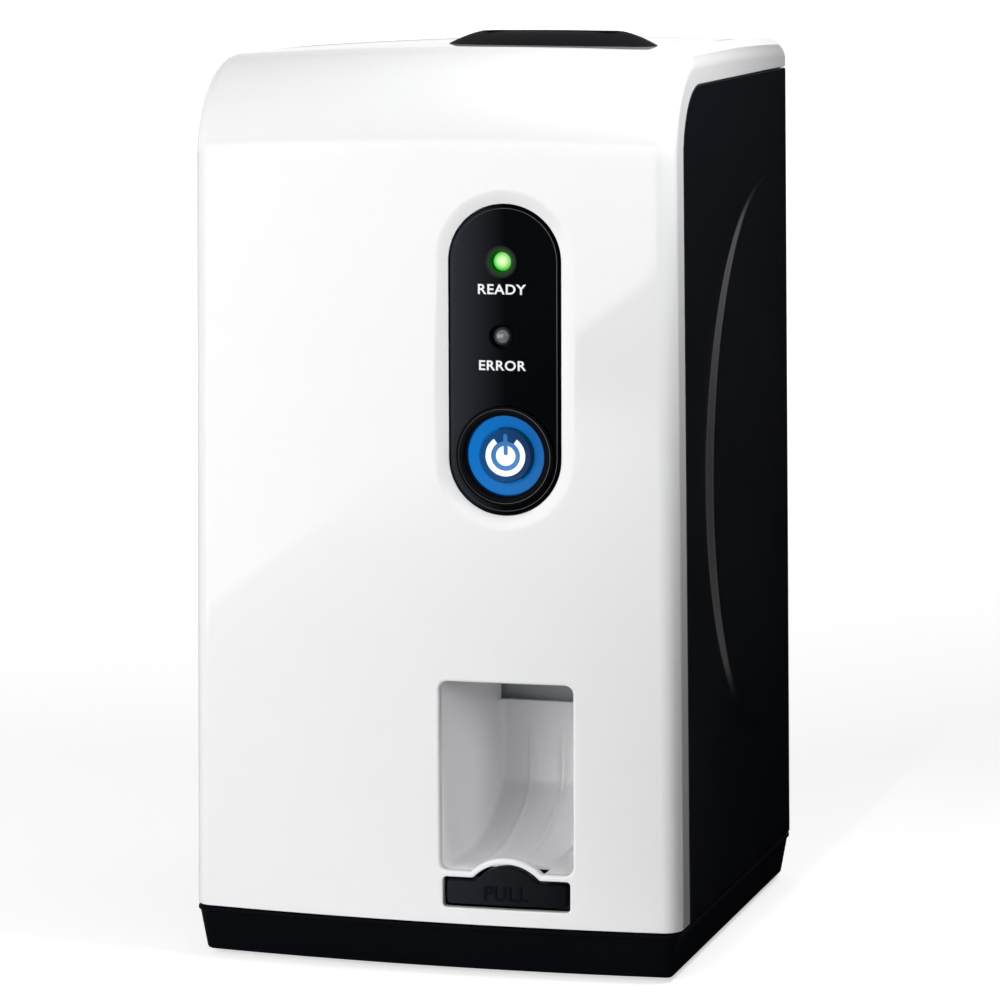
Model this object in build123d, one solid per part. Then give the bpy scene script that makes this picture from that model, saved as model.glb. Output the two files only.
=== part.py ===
from build123d import *
import math
import os

# A desktop scanner for dental imaging plates. A plate goes in at the top, is fed down
# past the laser and drops into a pocket low on the front. Millimetres, +Z up, the front
# faces -Y, and the origin is on the ground under the middle of the housing.

# Housing, outside
foot_height = 1.5
base_height = 13.9
base_taper = 2.6
base_edge_radius = 1.5
seam_half_width = 74.0
body_depth = 155.0
front_bow = 4.27
side_draft = 0.636
crown_height = 266.75
crown_x = 14.8
crown_radius = 1175.0
dome_radius = 3000.0
front_top_radius = 29.0
edge_radius = 5.0
rear_radius = 4.5
wall = 2.5
seam_gap = 0.5
reveal = 0.15
fit_gap = 0.1
press_gap = 0.02
cut_past = 5.0

# Side panels
return_depth = 12.8
panel_drop = 10.95
panel_corner_radius = 20.0
panel_lip = 4.0
panel_lip_thickness = 1.3
crescent_radius = 86.0
crescent_rise = 1.6
crescent_bevel = 9.0
crescent_back = 118.0
crescent_height = 138.0

# The plate's path
path_x = 23.2
path_setback = 53.5
slot_length = 36.0
slot_width = 5.0

# Slot collar
collar_length = 62.4
collar_depth = 34.0
collar_end_radius = 11.0
collar_rise = 3.6
collar_slope = 9.5
collar_skirt = 4.0
collar_neck_length = 42.0
collar_neck_width = 10.0
collar_neck_drop = 9.0
slot_radius = 1.0
funnel_depth = 2.4
funnel_spread = 1.6
seal_height = 3.0
seal_gap = 1.2

# Front window, pull opening and pocket
window_width = 39.6
window_bottom = 29.65
window_top = 85.3
window_radius = 2.5
pull_width = 37.9
pull_bottom = 18.8
pull_top = 27.8
arch_width = 19.8
arch_rise = 4.4
pull_radius = 1.2
strip_height = 1.8
pull_gap = 1.0
liner_wall = 1.5
pocket_floor = 28.5
pocket_depth = 64.0
ceiling_rise = 2.0
chute_radius = 35.0
scoop_top = 68.7
scoop_wall = 1.3
rib_pitch = 10.0
rib_width = 0.9
rib_height = 1.0
notch_width = 24.0
notch_depth = 10.0
notch_radius = 3.0
throat_depth = 6.0
throat_drop = 4.0
hood_tab = 8.0
hood_lap = 0.5
drop_slot_margin = 1.0
drawer_short = 1.5

# Drawer
drawer_travel = 38.0
drawer_width = 34.0
drawer_wall = 1.2
drawer_height = 6.6
drawer_clearance = 0.3
pull_thickness = 4.0
pull_recess = 0.4
runner_ledge = 1.4
ledge_reach = 3.0
runner_overrun = 1.0
lug_length = 1.5
lug_height = 1.4
lug_reach = 1.1

# Control fascia
fascia_x = 23.0
fascia_drop = 43.45
fascia_width = 32.9
fascia_height = 89.2
fascia_recess = 1.2
fascia_thickness = 2.5
fascia_flange = 2.0
fascia_reach = 14.0
flare_width = 4.0
flare_depth = 1.0
button_rise = 17.1
bezel_diameter = 28.8
bezel_chamfer = 0.5
bezel_bore = 26.4
bezel_rise = 0.9
bezel_depth = 4.0
bezel_seating = 0.6
well_depth = 3.4
ring_diameter = 23.0
ring_bore = 16.2
cap_diameter = 15.6
cap_thickness = 2.2
cap_dish = 0.7
cap_rim = 0.25
cap_proud = 0.2
button_travel = 1.0
stem_diameter = 3.0
switch_side = 6.0
switch_height = 3.0
switch_engage = 0.4
control_post_low = 20.0
control_post_high = 60.0
control_post_margin = 3.5
control_board_drop = 12.0
led_sink = 1.0
spring_wire = 0.6
spring_turns = 3
spring_clearance = 0.25
led_ready_rise = 72.7
led_error_rise = 51.3
led_diameter = 5.5
led_hole = 7.0
led_chamfer = 0.9
led_flange = 0.5
led_flange_height = 1.2
board_thickness = 1.6
control_board_setback = 11.9
control_board_width = 29.0
control_board_height = 77.0
boss_diameter = 4.6
boss_bore = 2.0
boss_depth = 4.0

# Transport
plate_gauge = 2.0
plate_flange = 9.0
plate_corner_radius = 3.0
transport_gap = 44.0
plate_front_reach = 26.0
plate_rear_reach = 20.0
bay_reach = 68.0
bay_below_deck = 12.0
bay_opening_rise = 2.0
bay_opening_radius = 4.0
plate_top_drop = 11.25
upper_roller_drop = 42.25
lower_roller_rise = 17.2
foot_screw_inset = 9.0
drive_radius = 6.0
pinch_radius = 5.0
nip = 0.6
shaft_diameter = 4.0
shaft_clearance = 0.05
bush_diameter = 8.0
bush_flange = 1.0
bush_flange_diameter = 10.0
tyre_length = 11.0
tyre_offset = 12.0
guide_gauge = 1.0
guide_gap = 3.6
guide_end_gap = 0.5
guide_margin = 2.0
roller_window = 16.0
scan_drop = 74.0
scan_window = 5.0
bay_opening = 32.0
pinch_stub = 5.0
shaft_end = 1.0
leaf_gauge = 0.5
leaf_length = 18.0
leaf_tail = 3.0
leaf_foot = 6.0
leaf_clearance = 0.2

# Belt drive
pulley_teeth = 16
pulley_radius = 5.6
pulley_tooth = 0.8
tooth_land = 0.5
tooth_flank = 0.15
pulley_face = 7.0
pulley_flange = 1.0
pulley_rim = 0.4
belt_width = 6.0
belt_thickness = 1.4
belt_clearance = 0.3
belt_plane = 9.5
motor_reach = 46.0
motor_drop = 22.0
motor_side = 35.0
motor_length = 24.0
motor_chamfer = 3.0
motor_boss = 22.0
motor_shaft_diameter = 5.0
motor_bolt_spacing = 26.0
motor_bolt_depth = 5.0

# Optics
deck_drop = 22.0
deck_gauge = 2.0
deck_clearance = 0.7
deck_margin = 14.0
deck_skirt = 8.0
deck_skirt_short = 4.0
mirror_reach = 64.0
mirror_size = 12.0
mirror_thickness = 1.5
mirror_pin = 3.0
mirror_clamp = 2.0
mirror_motor_diameter = 14.0
mirror_motor_height = 11.0
mirror_motor_floor = 4.0
laser_diameter = 9.0
laser_length = 13.0
laser_inset = 1.5
clamp_length = 8.0
clamp_width = 14.0
clamp_inset = 2.5
clamp_cover = 2.0
detector_rise = 16.0
light_guide_width = 34.0
light_guide_height = 3.0
light_guide_rise = 5.0
light_guide_gap = 0.4
light_guide_end_width = 18.0
light_guide_end_height = 16.0
tube_reach = 24.0
tube_side = 22.0
tube_length = 33.0
tube_chamfer = 2.0
shelf_front = 2.0
eraser_reach = 11.0
eraser_rise = 20.0
eraser_height = 12.0
eraser_lamps = 6
eraser_pitch = 6.2
lamp_side = 3.2
lamp_height = 1.6

# Electronics on the back
main_board_setback = 15.5
main_board_low = 22.0
main_board_high = 104.0
main_board_left = -34.0
main_board_right = 44.0
board_post_inset = 4.0
board_screw_depth = 8.0
chip_side = 22.0
chip_height = 3.0
coil_side = 12.0
coil_height = 9.0
header_width = 10.0
header_height = 6.0
socket_recess = 0.3
socket_lip = 1.5
usb_width = 12.0
usb_height = 11.0
usb_mouth_width = 8.5
usb_mouth_height = 7.8
usb_mouth_depth = 9.0
usb_tongue_width = 5.6
usb_tongue_height = 3.2
usb_x = -20.0
jack_side = 9.0
jack_height = 11.0
jack_mouth = 6.4
jack_pin = 2.0
jack_depth = 9.5
jack_x = 2.0
connector_z = 34.0
switch_x = 24.0
switch_opening_width = 19.0
switch_opening_height = 13.0
switch_back = 5.0
rocker_well = 3.4
rocker_pin = 1.0
rocker_tilt = 8.0
rocker_width = 15.0
rocker_depth = 5.2
rocker_reach = 5.9
rocker_root_y = 2.0
rocker_root_z = 2.6
rocker_tip_y = 4.2
rocker_tip_z = 4.9
rocker_dip = 0.7

# Fasteners
screw_diameter = 3.0
screw_head = 5.5
screw_head_height = 2.0
post_diameter = 7.0
foot_diameter = 12.0
foot_recess = 1.0
foot_inset_x = 18.0
foot_inset_y = 23.5
screw_slack = 0.02
screw_reach = 10.0
base_screw_inset_x = 14.0
base_screw_inset_y = 10.5
web_gauge = 2.0
rear_post_length = 13.0
neck_height = 3.0
post_height = 16.0
rear_thickness = 3.0
rear_screw_x = 56.0
rear_screw_low = 150.0
rear_screw_drop = 32.25
vent_rows = 7
vent_drop = 68.25
vent_pitch = 5.0
vent_length = 46.0
vent_width = 2.0

# Worked out from the sizes above
front_y = -body_depth / 2
back_y = body_depth / 2
seam_z = foot_height + base_height
crown_z = foot_height + crown_height
bow_radius = (seam_half_width**2 + front_bow**2) / (2 * front_bow)
corner_y = front_y + front_bow
path_y = front_y + path_setback
liner_x0 = path_x - window_width / 2
liner_x1 = path_x + window_width / 2
floor_z = foot_height + pocket_floor
pocket_back = front_y + pocket_depth
ceiling_z = foot_height + window_top + ceiling_rise
plate_x0 = path_x - transport_gap / 2
plate_x1 = path_x + transport_gap / 2
base_floor = foot_height + wall
screw_seat_z = base_floor + 2 * screw_head_height
drive_y = path_y + drive_radius + nip / 2
pinch_y = path_y - pinch_radius - nip / 2
fascia_low = crown_z - fascia_drop - fascia_height
button_centre_z = fascia_low + button_rise
belt_x = plate_x0 - belt_plane
upper_roller_z = crown_z - upper_roller_drop
lower_roller_z = ceiling_z + lower_roller_rise
motor_y = path_y + motor_reach
motor_z = upper_roller_z - motor_drop
scan_z = upper_roller_z - scan_drop
deck_z = scan_z - deck_drop
detector_z = scan_z + detector_rise
mirror_y = path_y + mirror_reach
tube_front = path_y + tube_reach
eraser_y = path_y - eraser_reach
eraser_z = lower_roller_z + eraser_rise
main_board_y = back_y - main_board_setback
rear_screw_high = crown_z - rear_screw_drop

parts = {}


def block(x0, x1, y0, y1, z0, z1):
    """A box between two corners, given in either order."""
    place = Pos((x0 + x1) / 2, (y0 + y1) / 2, (z0 + z1) / 2)
    return place * Box(abs(x1 - x0), abs(y1 - y0), abs(z1 - z0))


def rod_x(x0, x1, y, z, radius):
    """A round bar along X, its ends given in either order."""
    return Pos((x0 + x1) / 2, y, z) * Rot(0, 90, 0) * Cylinder(radius, abs(x1 - x0))


def rod_y(y0, y1, x, z, radius):
    """A round bar along Y."""
    return Pos(x, (y0 + y1) / 2, z) * Rot(90, 0, 0) * Cylinder(radius, y1 - y0)


def rod_z(z0, z1, x, y, radius):
    """A round bar along Z."""
    return Pos(x, y, (z0 + z1) / 2) * Cylinder(radius, z1 - z0)


def prism_y(sketch, y0, y1):
    """A front-view outline (X, Z) carried from y0 to y1."""
    return extrude(Plane.XZ.offset(-y1) * sketch, amount=y1 - y0)


def prism_x(sketch, x0, x1):
    """A side-view outline (Y, Z) carried from x0 to x1."""
    return extrude(Plane.YZ.offset(x0) * sketch, amount=x1 - x0)


def prism_z(sketch, z0, z1):
    """A plan outline (X, Y) carried from z0 to z1."""
    return extrude(Plane.XY.offset(z0) * sketch, amount=z1 - z0)


def screw(seat, way, reach):
    """A plain machine screw: a hexagon head outside its seat and a shank that goes in.

    seat is where the head's underside rests, way is the direction that the shank points in.
    """
    place = Plane(origin=seat, z_dir=way)
    head = extrude(place * RegularPolygon(screw_head / 2, 6), amount=-screw_head_height)
    return head + extrude(place * RegularPolygon(screw_diameter / 2 - screw_slack, 6), amount=reach)


def stepped(body, edges, radius, picked):
    """Rounds off edges in three flat steps, each tangent to the radius.

    picked chooses, by the same rule as edges, the two edges that the first step leaves.
    """
    middle_step = radius * (2 - math.sqrt(2))
    outer_step = radius * (1 - math.tan(math.pi / 16)) - middle_step
    body = chamfer(edges, middle_step)
    return chamfer(body.edges().filter_by(picked), outer_step)


def surface_y(x, inset=0.0):
    """Where the bowed front lies at x, moved back by inset."""
    radius = bow_radius - inset
    return front_y + bow_radius - math.sqrt(radius**2 - x**2)


def half_width(z, inset=0.0):
    """Half the housing's width at height z, for its leaning sides."""
    slope = math.radians(side_draft)
    return seam_half_width - (z - seam_z) * math.tan(slope) - inset / math.cos(slope)


def plan_outline(inset=0.0, rear_extra=0.0, half=None):
    """The housing seen from above, with its bowed front, shrunk by inset."""
    side = (seam_half_width if half is None else half) - inset
    back = back_y - inset + rear_extra
    edge_y = surface_y(side, inset)
    middle = (0, front_y + inset)
    bow = ThreePointArc((-side, edge_y), middle, (side, edge_y))
    rest = Polyline((side, edge_y), (side, back), (-side, back), (-side, edge_y))
    return make_face(bow + rest)


def rounded_plan(inset=0.0):
    """The same outline at the seam, with its corners rounded."""
    face = plan_outline(inset)
    front = face.vertices().filter_by(lambda v: v.Y < 0)
    face = fillet(front, max(edge_radius - inset, 0.8))
    rear = face.vertices().filter_by(lambda v: v.Y > 0)
    return fillet(rear, max(rear_radius - inset, 0.8))


def plain_housing(inset, low, rear_extra):
    """The bowed, leaning and crowned block that the housing's forms are cut from."""
    high = crown_z + 2 * wall
    reach = seam_half_width + 2 * wall
    body = prism_z(plan_outline(inset, rear_extra, reach), low, high)
    bottom = half_width(low, inset)
    top = half_width(high, inset)
    sides = make_face(Polyline((-bottom, low), (bottom, low), (top, high), (-top, high), (-bottom, low)))
    body = body & prism_y(sides, -body_depth, body_depth)
    centre_z = crown_z - crown_radius
    radius = crown_radius - inset
    right = (reach, centre_z + math.sqrt(radius**2 - (reach - crown_x) ** 2))
    left = (-reach, centre_z + math.sqrt(radius**2 - (reach + crown_x) ** 2))
    crown = ThreePointArc(right, (crown_x, centre_z + radius), left)
    deep = Polyline(left, (-reach, low - seam_z), (reach, low - seam_z), right)
    section = Plane.XZ.offset(-path_y) * make_face(crown + deep)
    axis = Axis((0, path_y, crown_z - dome_radius), (1, 0, 0))
    half_turn = math.degrees(math.asin(0.8 * body_depth / dome_radius))
    return body & revolve(section.rotate(axis, -half_turn), axis, 2 * half_turn)


def on_top_front(edge):
    """Whether an edge runs across the housing where the front turns into the top."""
    place = edge.center()
    spread = 2 * front_top_radius
    return place.Z > crown_z - spread and place.Y < front_y + spread and edge.length > seam_half_width


def on_flank(edge):
    """Whether an edge runs up a front corner or back along the side of the top."""
    place = edge.center()
    outside = abs(place.X) > seam_half_width - 2 * edge_radius
    return outside and place.Y < back_y - wall and place.Z > seam_z + wall and edge.length > 2 * edge_radius


def housing_form():
    """The outside of the whole housing as one closed form."""
    body = plain_housing(0.0, seam_z, 0.0)
    body = fillet(body.edges().filter_by(on_top_front), front_top_radius)
    body = stepped(body, body.edges().filter_by(on_flank), edge_radius, on_flank)
    rear = body.edges().filter_by(lambda e: e.center().Y > back_y - wall / 2 and e.center().Z > seam_z + wall)
    return chamfer(rear, rear_radius / 2)


def inner_form(inset, low=seam_z, rear_extra=0.0):
    """The housing shrunk by inset, with flat steps round the front of the top."""
    body = plain_housing(inset, low, rear_extra)
    return stepped(body, body.edges().filter_by(on_top_front), front_top_radius, on_top_front)


def panel_outline(grow=0.0):
    """A side panel seen from the side, with its rounded front-top corner."""
    front = corner_y + return_depth - grow
    top = crown_z - panel_drop + grow
    back = back_y + cut_past
    low = seam_z - cut_past
    face = make_face(Polyline((front, low), (back, low), (back, top), (front, top), (front, low)))
    corner = face.vertices().sort_by(lambda v: v.Y - v.X)[-1]
    return fillet(corner, panel_corner_radius + grow)


def pull_outline(grow=0.0):
    """The pull opening seen from the front: a bar with a low arch on its top."""
    low = foot_height + pull_bottom - grow
    high = foot_height + pull_top + grow
    half = pull_width / 2 + grow
    radius = (arch_width**2 / 4 + arch_rise**2) / (2 * arch_rise)
    bar = Pos(path_x, (low + high) / 2) * RectangleRounded(2 * half, high - low, pull_radius + max(grow, 0))
    peak = foot_height + pull_top + arch_rise
    arch = Pos(path_x, peak - radius) * Circle(radius + grow)
    above = Pos(path_x, high + radius / 2) * Rectangle(2 * radius, radius + pull_radius)
    return bar + (arch & above)


def window_outline():
    """The pickup window seen from the front, with the cover's strip left over the arch."""
    low = foot_height + window_bottom
    high = foot_height + window_top
    pane = Pos(path_x, (low + high) / 2) * RectangleRounded(window_width, high - low, window_radius)
    return pane - pull_outline(strip_height)


behind = 2 * cut_past
outer = housing_form()
inner = inner_form(wall, seam_z - wall, behind)
shell = outer - inner

# Base tray: a tapered tub with a neck that the housing drops over
rim_z = seam_z - seam_gap
neck_z = seam_z + neck_height
base_draft = math.degrees(math.atan((base_taper - reveal) / (rim_z - foot_height)))
base = extrude(Plane.XY.offset(rim_z) * rounded_plan(reveal), amount=foot_height - rim_z, taper=base_draft)
base = chamfer(base.edges().group_by(Axis.Z)[0], base_edge_radius / 2)
base += prism_z(rounded_plan(wall + fit_gap), rim_z - wall, neck_z)
base -= prism_z(rounded_plan(2 * wall + fit_gap), base_floor, neck_z + cut_past)
base_screw_x = seam_half_width - base_screw_inset_x
base_screw_y = back_y - base_screw_inset_y
base_screw_spots = [(sx * base_screw_x, sy * base_screw_y) for sy in (-1, 1) for sx in (-1, 1)]
post_zone = prism_z(rounded_plan(wall), 0, seam_z)
for x, y in base_screw_spots:
    base += rod_z(base_floor - wall / 2, neck_z - fit_gap, x, y, post_diameter / 2) & post_zone
    base -= rod_z(0, neck_z + cut_past, x, y, screw_diameter / 2 + fit_gap)
    base -= rod_z(0, screw_seat_z, x, y, screw_head / 2 + 2 * fit_gap)
foot_x = seam_half_width - foot_inset_x
foot_y = back_y - foot_inset_y
foot_spots = [(sx * foot_x, sy * foot_y) for sx in (-1, 1) for sy in (-1, 1)]
feet = []
for x, y in foot_spots:
    base -= rod_z(0, foot_height + foot_recess, x, y, foot_diameter / 2 + fit_gap)
    feet.append(rod_z(0, foot_height + foot_recess, x, y, foot_diameter / 2))
parts["base_tray"] = base
parts["rubber_feet"] = Compound(feet)

# Front cover
cheek_x = seam_half_width - 2 * edge_radius
far = body_depth
high = crown_z + front_top_radius
before = front_y - cut_past
cheeks = block(-far, -cheek_x, -far, far, 0, high) + block(cheek_x, far, -far, far, 0, high)
cover = shell - (prism_x(panel_outline(reveal), -far, far) & cheeks)
post_low = neck_z + fit_gap
post_high = seam_z + post_height
web_half = web_gauge / 2
for x, y in base_screw_spots[:2]:
    post = rod_z(post_low, post_high, x, y, post_diameter / 2)
    web = block(x - web_half, x + web_half, y - 2 * post_diameter, y, post_low, post_high)
    cover += (post + web) & inner
    cover -= rod_z(seam_z, post_high - wall, x, y, screw_diameter / 2)
pill = SlotOverall(fascia_height, fascia_width, rotation=90)
pill_spot = Pos(fascia_x, fascia_low + fascia_height / 2)
flare_slope = math.degrees(math.atan(flare_width / flare_depth))
flare_face = Plane.XZ.offset(-(surface_y(fascia_x) + flare_depth)) * (pill_spot * pill)
flare = extrude(flare_face, amount=flare_depth + front_bow / 4, taper=-flare_slope)
through_front = corner_y + 2 * wall
cover -= prism_y(pill_spot * pill, before, through_front)
cover -= flare
cover -= prism_y(window_outline(), before, through_front)
cover -= prism_y(pull_outline(), before, through_front)
neck_hole = Rectangle(collar_neck_length + 2 * fit_gap, collar_neck_width + 2 * fit_gap)
cover -= prism_z(Pos(path_x, path_y) * neck_hole, crown_z - 2 * collar_neck_drop, high)
parts["front_cover"] = cover

# Side panels: a skin flush with the cover, a lip behind the cover's edge, and the crescent
panel_face = prism_x(panel_outline(), -far, far)
lip_stop = block(-far, far, -far, back_y - rear_thickness - web_half, neck_z + web_half, high)
lip_zone = prism_x(panel_outline(panel_lip), -far, far) & lip_stop
lip_inset = wall + fit_gap
bridge_lap = wall / 8
lip_outer = inner_form(lip_inset, seam_z, behind)
lip_form = lip_outer - inner_form(lip_inset + panel_lip_thickness, seam_z - wall, behind + wall)
bridge_form = inner_form(wall - bridge_lap, seam_z, behind)
bridge_form -= inner_form(lip_inset + bridge_lap, seam_z - wall, behind + wall)
crescent_z = foot_height + crescent_height
crescent_y = corner_y + return_depth + crescent_back
bevel_spread = crescent_bevel / crescent_rise
sink = wall / 2
rear_post_back = back_y - rear_thickness - fit_gap
rear_post_front = rear_post_back - rear_post_length
for side, name in ((-1, "side_panel_left"), (1, "side_panel_right")):
    cheek = block(side * cheek_x, side * far, -far, far, 0, high)
    panel = shell & panel_face & cheek
    panel += bridge_form & panel_face & lip_stop & cheek
    panel += lip_form & lip_zone & cheek
    face_x = half_width(crescent_z)
    disc = Cone(
        crescent_radius + sink * bevel_spread, crescent_radius - crescent_bevel, sink + crescent_rise
    )
    place = Pos(side * face_x, crescent_y, crescent_z) * Rot(0, side * (90 - side_draft), 0)
    disc = place * Pos(0, 0, (crescent_rise - sink) / 2) * disc
    wedge_back = 2 * crescent_radius
    wedge = make_face(Polyline(
        (side * (face_x - sink), crescent_y),
        (side * face_x, crescent_y),
        (side * (face_x + 2 * crescent_rise), crescent_y - wedge_back),
        (side * (face_x - sink), crescent_y - wedge_back),
        (side * (face_x - sink), crescent_y),
    ))
    wedge = extrude(wedge, amount=high, dir=(0, 0, 1))
    panel += disc & wedge
    x = side * base_screw_x
    posts = rod_z(post_low, post_high, x, base_screw_y, post_diameter / 2)
    posts += block(x, side * far, base_screw_y - web_half, base_screw_y + web_half, post_low, post_high)
    x = side * rear_screw_x
    for z in (rear_screw_low, rear_screw_high):
        posts += rod_y(rear_post_front, rear_post_back, x, z, post_diameter / 2)
        posts += block(x, side * far, rear_post_front, rear_post_back, z - web_half, z + web_half)
    panel += posts & lip_outer
    panel -= rod_z(0, post_high - wall, side * base_screw_x, base_screw_y, screw_diameter / 2)
    for z in (rear_screw_low, rear_screw_high):
        panel -= rod_y(rear_post_front + wall, back_y, x, z, screw_diameter / 2)
    parts[name] = panel

# Rear cover: a plate set in the back of the housing, with openings for the sockets
rear_face = back_y - rear_thickness
rear = inner_form(lip_inset, neck_z + fit_gap, behind) & block(-far, far, rear_face, back_y, 0, high)
board_post_spots = [
    (x, z)
    for x in (main_board_left + board_post_inset, main_board_right - board_post_inset)
    for z in (main_board_low + board_post_inset, main_board_high - board_post_inset)
]
board_face = main_board_y + board_thickness
for x, z in board_post_spots:
    rear += rod_y(board_face, rear_face, x, z, post_diameter / 2)
    rear -= rod_y(main_board_y, board_face + board_screw_depth, x, z, screw_diameter / 2)
for x, width, height in (
    (usb_x, usb_width, usb_height),
    (jack_x, jack_side, jack_height),
    (switch_x, switch_opening_width, switch_opening_height),
):
    opening = Pos(x, connector_z) * Rectangle(width + 2 * fit_gap, height + 2 * fit_gap)
    rear -= prism_y(opening, rear_face - cut_past, back_y + cut_past)
for row in range(vent_rows):
    slit = Pos(0, crown_z - vent_drop + row * vent_pitch) * Rectangle(vent_length, vent_width)
    rear -= prism_y(slit, rear_face - cut_past, back_y + cut_past)
rear_screw_spots = [(sx * rear_screw_x, z) for sx in (-1, 1) for z in (rear_screw_low, rear_screw_high)]
rear_seat = back_y - screw_head_height - fit_gap
for x, z in rear_screw_spots:
    rear -= rod_y(rear_face - cut_past, back_y + cut_past, x, z, screw_diameter / 2 + fit_gap)
    rear -= rod_y(rear_seat, back_y + cut_past, x, z, screw_head / 2 + 2 * fit_gap)
parts["rear_cover"] = rear


def leaf_outline(half_length, half_depth, end_radius):
    """The collar seen from above: two long arcs and two end arcs that meet smoothly."""
    end = half_length - end_radius
    side_radius = (end**2 + half_depth**2 - end_radius**2) / (2 * (half_depth - end_radius))
    along = end / (side_radius - end_radius)
    x = end + end_radius * along
    y = end_radius * math.sqrt(1 - along**2)
    outline = ThreePointArc((x, y), (0, half_depth), (-x, y))
    outline += ThreePointArc((-x, y), (-half_length, 0), (-x, -y))
    outline += ThreePointArc((-x, -y), (0, -half_depth), (x, -y))
    outline += ThreePointArc((x, -y), (half_length, 0), (x, y))
    return make_face(outline)


# Slot collar: a leaf-shaped rim that slopes up all round to a flat top
collar_z = crown_z + collar_rise
leaf = leaf_outline(collar_length / 2, collar_depth / 2, collar_end_radius)
leaf = Plane.XY.offset(crown_z) * (Pos(path_x, path_y) * leaf)
collar_draft = math.degrees(math.atan(collar_slope / collar_rise))
collar = extrude(leaf, amount=-collar_skirt) + extrude(leaf, amount=collar_rise, taper=collar_draft)
collar -= outer
neck_face = Pos(path_x, path_y) * Rectangle(collar_neck_length, collar_neck_width)
collar += prism_z(neck_face, crown_z - collar_neck_drop, crown_z + collar_rise / 2)
slot_face = Pos(path_x, path_y) * RectangleRounded(slot_length, slot_width, slot_radius)
collar -= prism_z(slot_face, crown_z - 2 * collar_neck_drop, collar_z + cut_past)
mouth_length = slot_length + 2 * funnel_spread
mouth_width = slot_width + 2 * funnel_spread
funnel = loft([
    Plane.XY.offset(collar_z - funnel_depth) * (Pos(path_x, path_y) * Rectangle(slot_length, slot_width)),
    Plane.XY.offset(collar_z) * (Pos(path_x, path_y) * Rectangle(mouth_length, mouth_width)),
], ruled=True)
collar -= funnel
parts["slot_collar"] = collar

# Felt strips inside the collar's neck keep light off the plate
seals = []
seal_low = crown_z - collar_neck_drop - seal_height
for way in (-1, 1):
    seals.append(block(
        path_x - slot_length / 2, path_x + slot_length / 2,
        path_y + way * seal_gap / 2, path_y + way * collar_neck_width / 2,
        seal_low, seal_low + seal_height - fit_gap / 2,
    ))
parts["light_seals"] = Compound(seals)

# Control fascia: a skin that follows the bowed front, with a wider flange behind the cover
fascia_back = inner_form(fascia_recess + fascia_thickness, seam_z - wall)
fascia_skin = inner_form(fascia_recess) - fascia_back
plain_pill = pill_spot * SlotOverall(fascia_height - 2 * reveal, fascia_width - 2 * reveal, rotation=90)
wide_pill = pill_spot * SlotOverall(
    fascia_height + 2 * fascia_flange, fascia_width + 2 * fascia_flange, rotation=90
)
in_front = front_y + fascia_reach
fascia = fascia_skin & prism_y(plain_pill, before, in_front)
fascia += (lip_outer - fascia_back) & prism_y(wide_pill, before, in_front)
board_front_y = front_y + control_board_setback
board_back_y = board_front_y + board_thickness
control_post_spots = [
    (fascia_x + sx * (control_board_width / 2 - control_post_margin), control_z)
    for sx in (-1, 1)
    for control_z in (button_centre_z + control_post_low, button_centre_z + control_post_high)
]
well_face_y = surface_y(fascia_x, fascia_recess)
for x, z in control_post_spots:
    fascia += rod_y(well_face_y + fascia_thickness / 2, board_front_y, x, z, boss_diameter / 2)
    fascia -= rod_y(board_front_y - boss_depth, board_front_y + cut_past, x, z, boss_bore / 2)
fascia -= rod_y(before, in_front, fascia_x, button_centre_z, bezel_bore / 2 + fit_gap)
bezel_seat = well_face_y + bezel_seating
fascia -= rod_y(before, bezel_seat, fascia_x, button_centre_z, bezel_diameter / 2 + fit_gap / 2)
led_spots = {"led_ready": fascia_low + led_ready_rise, "led_error": fascia_low + led_error_rise}
for z in led_spots.values():
    fascia -= rod_y(before, in_front, fascia_x, z, led_hole / 2)
parts["control_fascia"] = fascia

# Start button: a bezel pressed into the fascia, a lit ring, and a dished cap on a stem
bezel_front = well_face_y - bezel_rise
bezel = rod_y(bezel_front, bezel_seat, fascia_x, button_centre_z, bezel_diameter / 2)
bezel += rod_y(well_face_y, well_face_y + bezel_depth, fascia_x, button_centre_z, bezel_bore / 2)
bezel -= rod_y(before, in_front, fascia_x, button_centre_z, ring_diameter / 2 + fit_gap)
outer_lip = bezel.edges().filter_by(GeomType.CIRCLE).group_by(Axis.Y)[0].sort_by(SortBy.RADIUS)[-1]
parts["button_bezel"] = chamfer(outer_lip, bezel_chamfer)

ring_front = bezel_front + well_depth
ring = rod_y(ring_front, board_front_y, fascia_x, button_centre_z, ring_diameter / 2)
ring -= rod_y(before, in_front, fascia_x, button_centre_z, ring_bore / 2)
parts["button_light_ring"] = ring

cap_front = ring_front - cap_proud
cap_back = cap_front + cap_thickness
cap = rod_y(cap_front, cap_back, fascia_x, button_centre_z, cap_diameter / 2)
dish_reach = cap_diameter / 2 - cap_rim
dish_radius = (dish_reach**2 + cap_dish**2) / (2 * cap_dish)
cap -= Pos(fascia_x, cap_front - dish_radius + cap_dish, button_centre_z) * Sphere(dish_radius)
switch_face = board_front_y - switch_height
stem_end = switch_face + switch_engage
cap += rod_y(cap_back - cap_thickness / 4, stem_end, fascia_x, button_centre_z, stem_diameter / 2)
parts["start_button"] = cap

switch_half = switch_side / 2
switch_body = block(
    fascia_x - switch_half, fascia_x + switch_half, switch_face, board_front_y,
    button_centre_z - switch_half, button_centre_z + switch_half,
)
stem_room = stem_end + button_travel + fit_gap
switch_body -= rod_y(before, stem_room, fascia_x, button_centre_z, stem_diameter / 2 + fit_gap)
parts["tact_switch"] = switch_body

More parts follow.
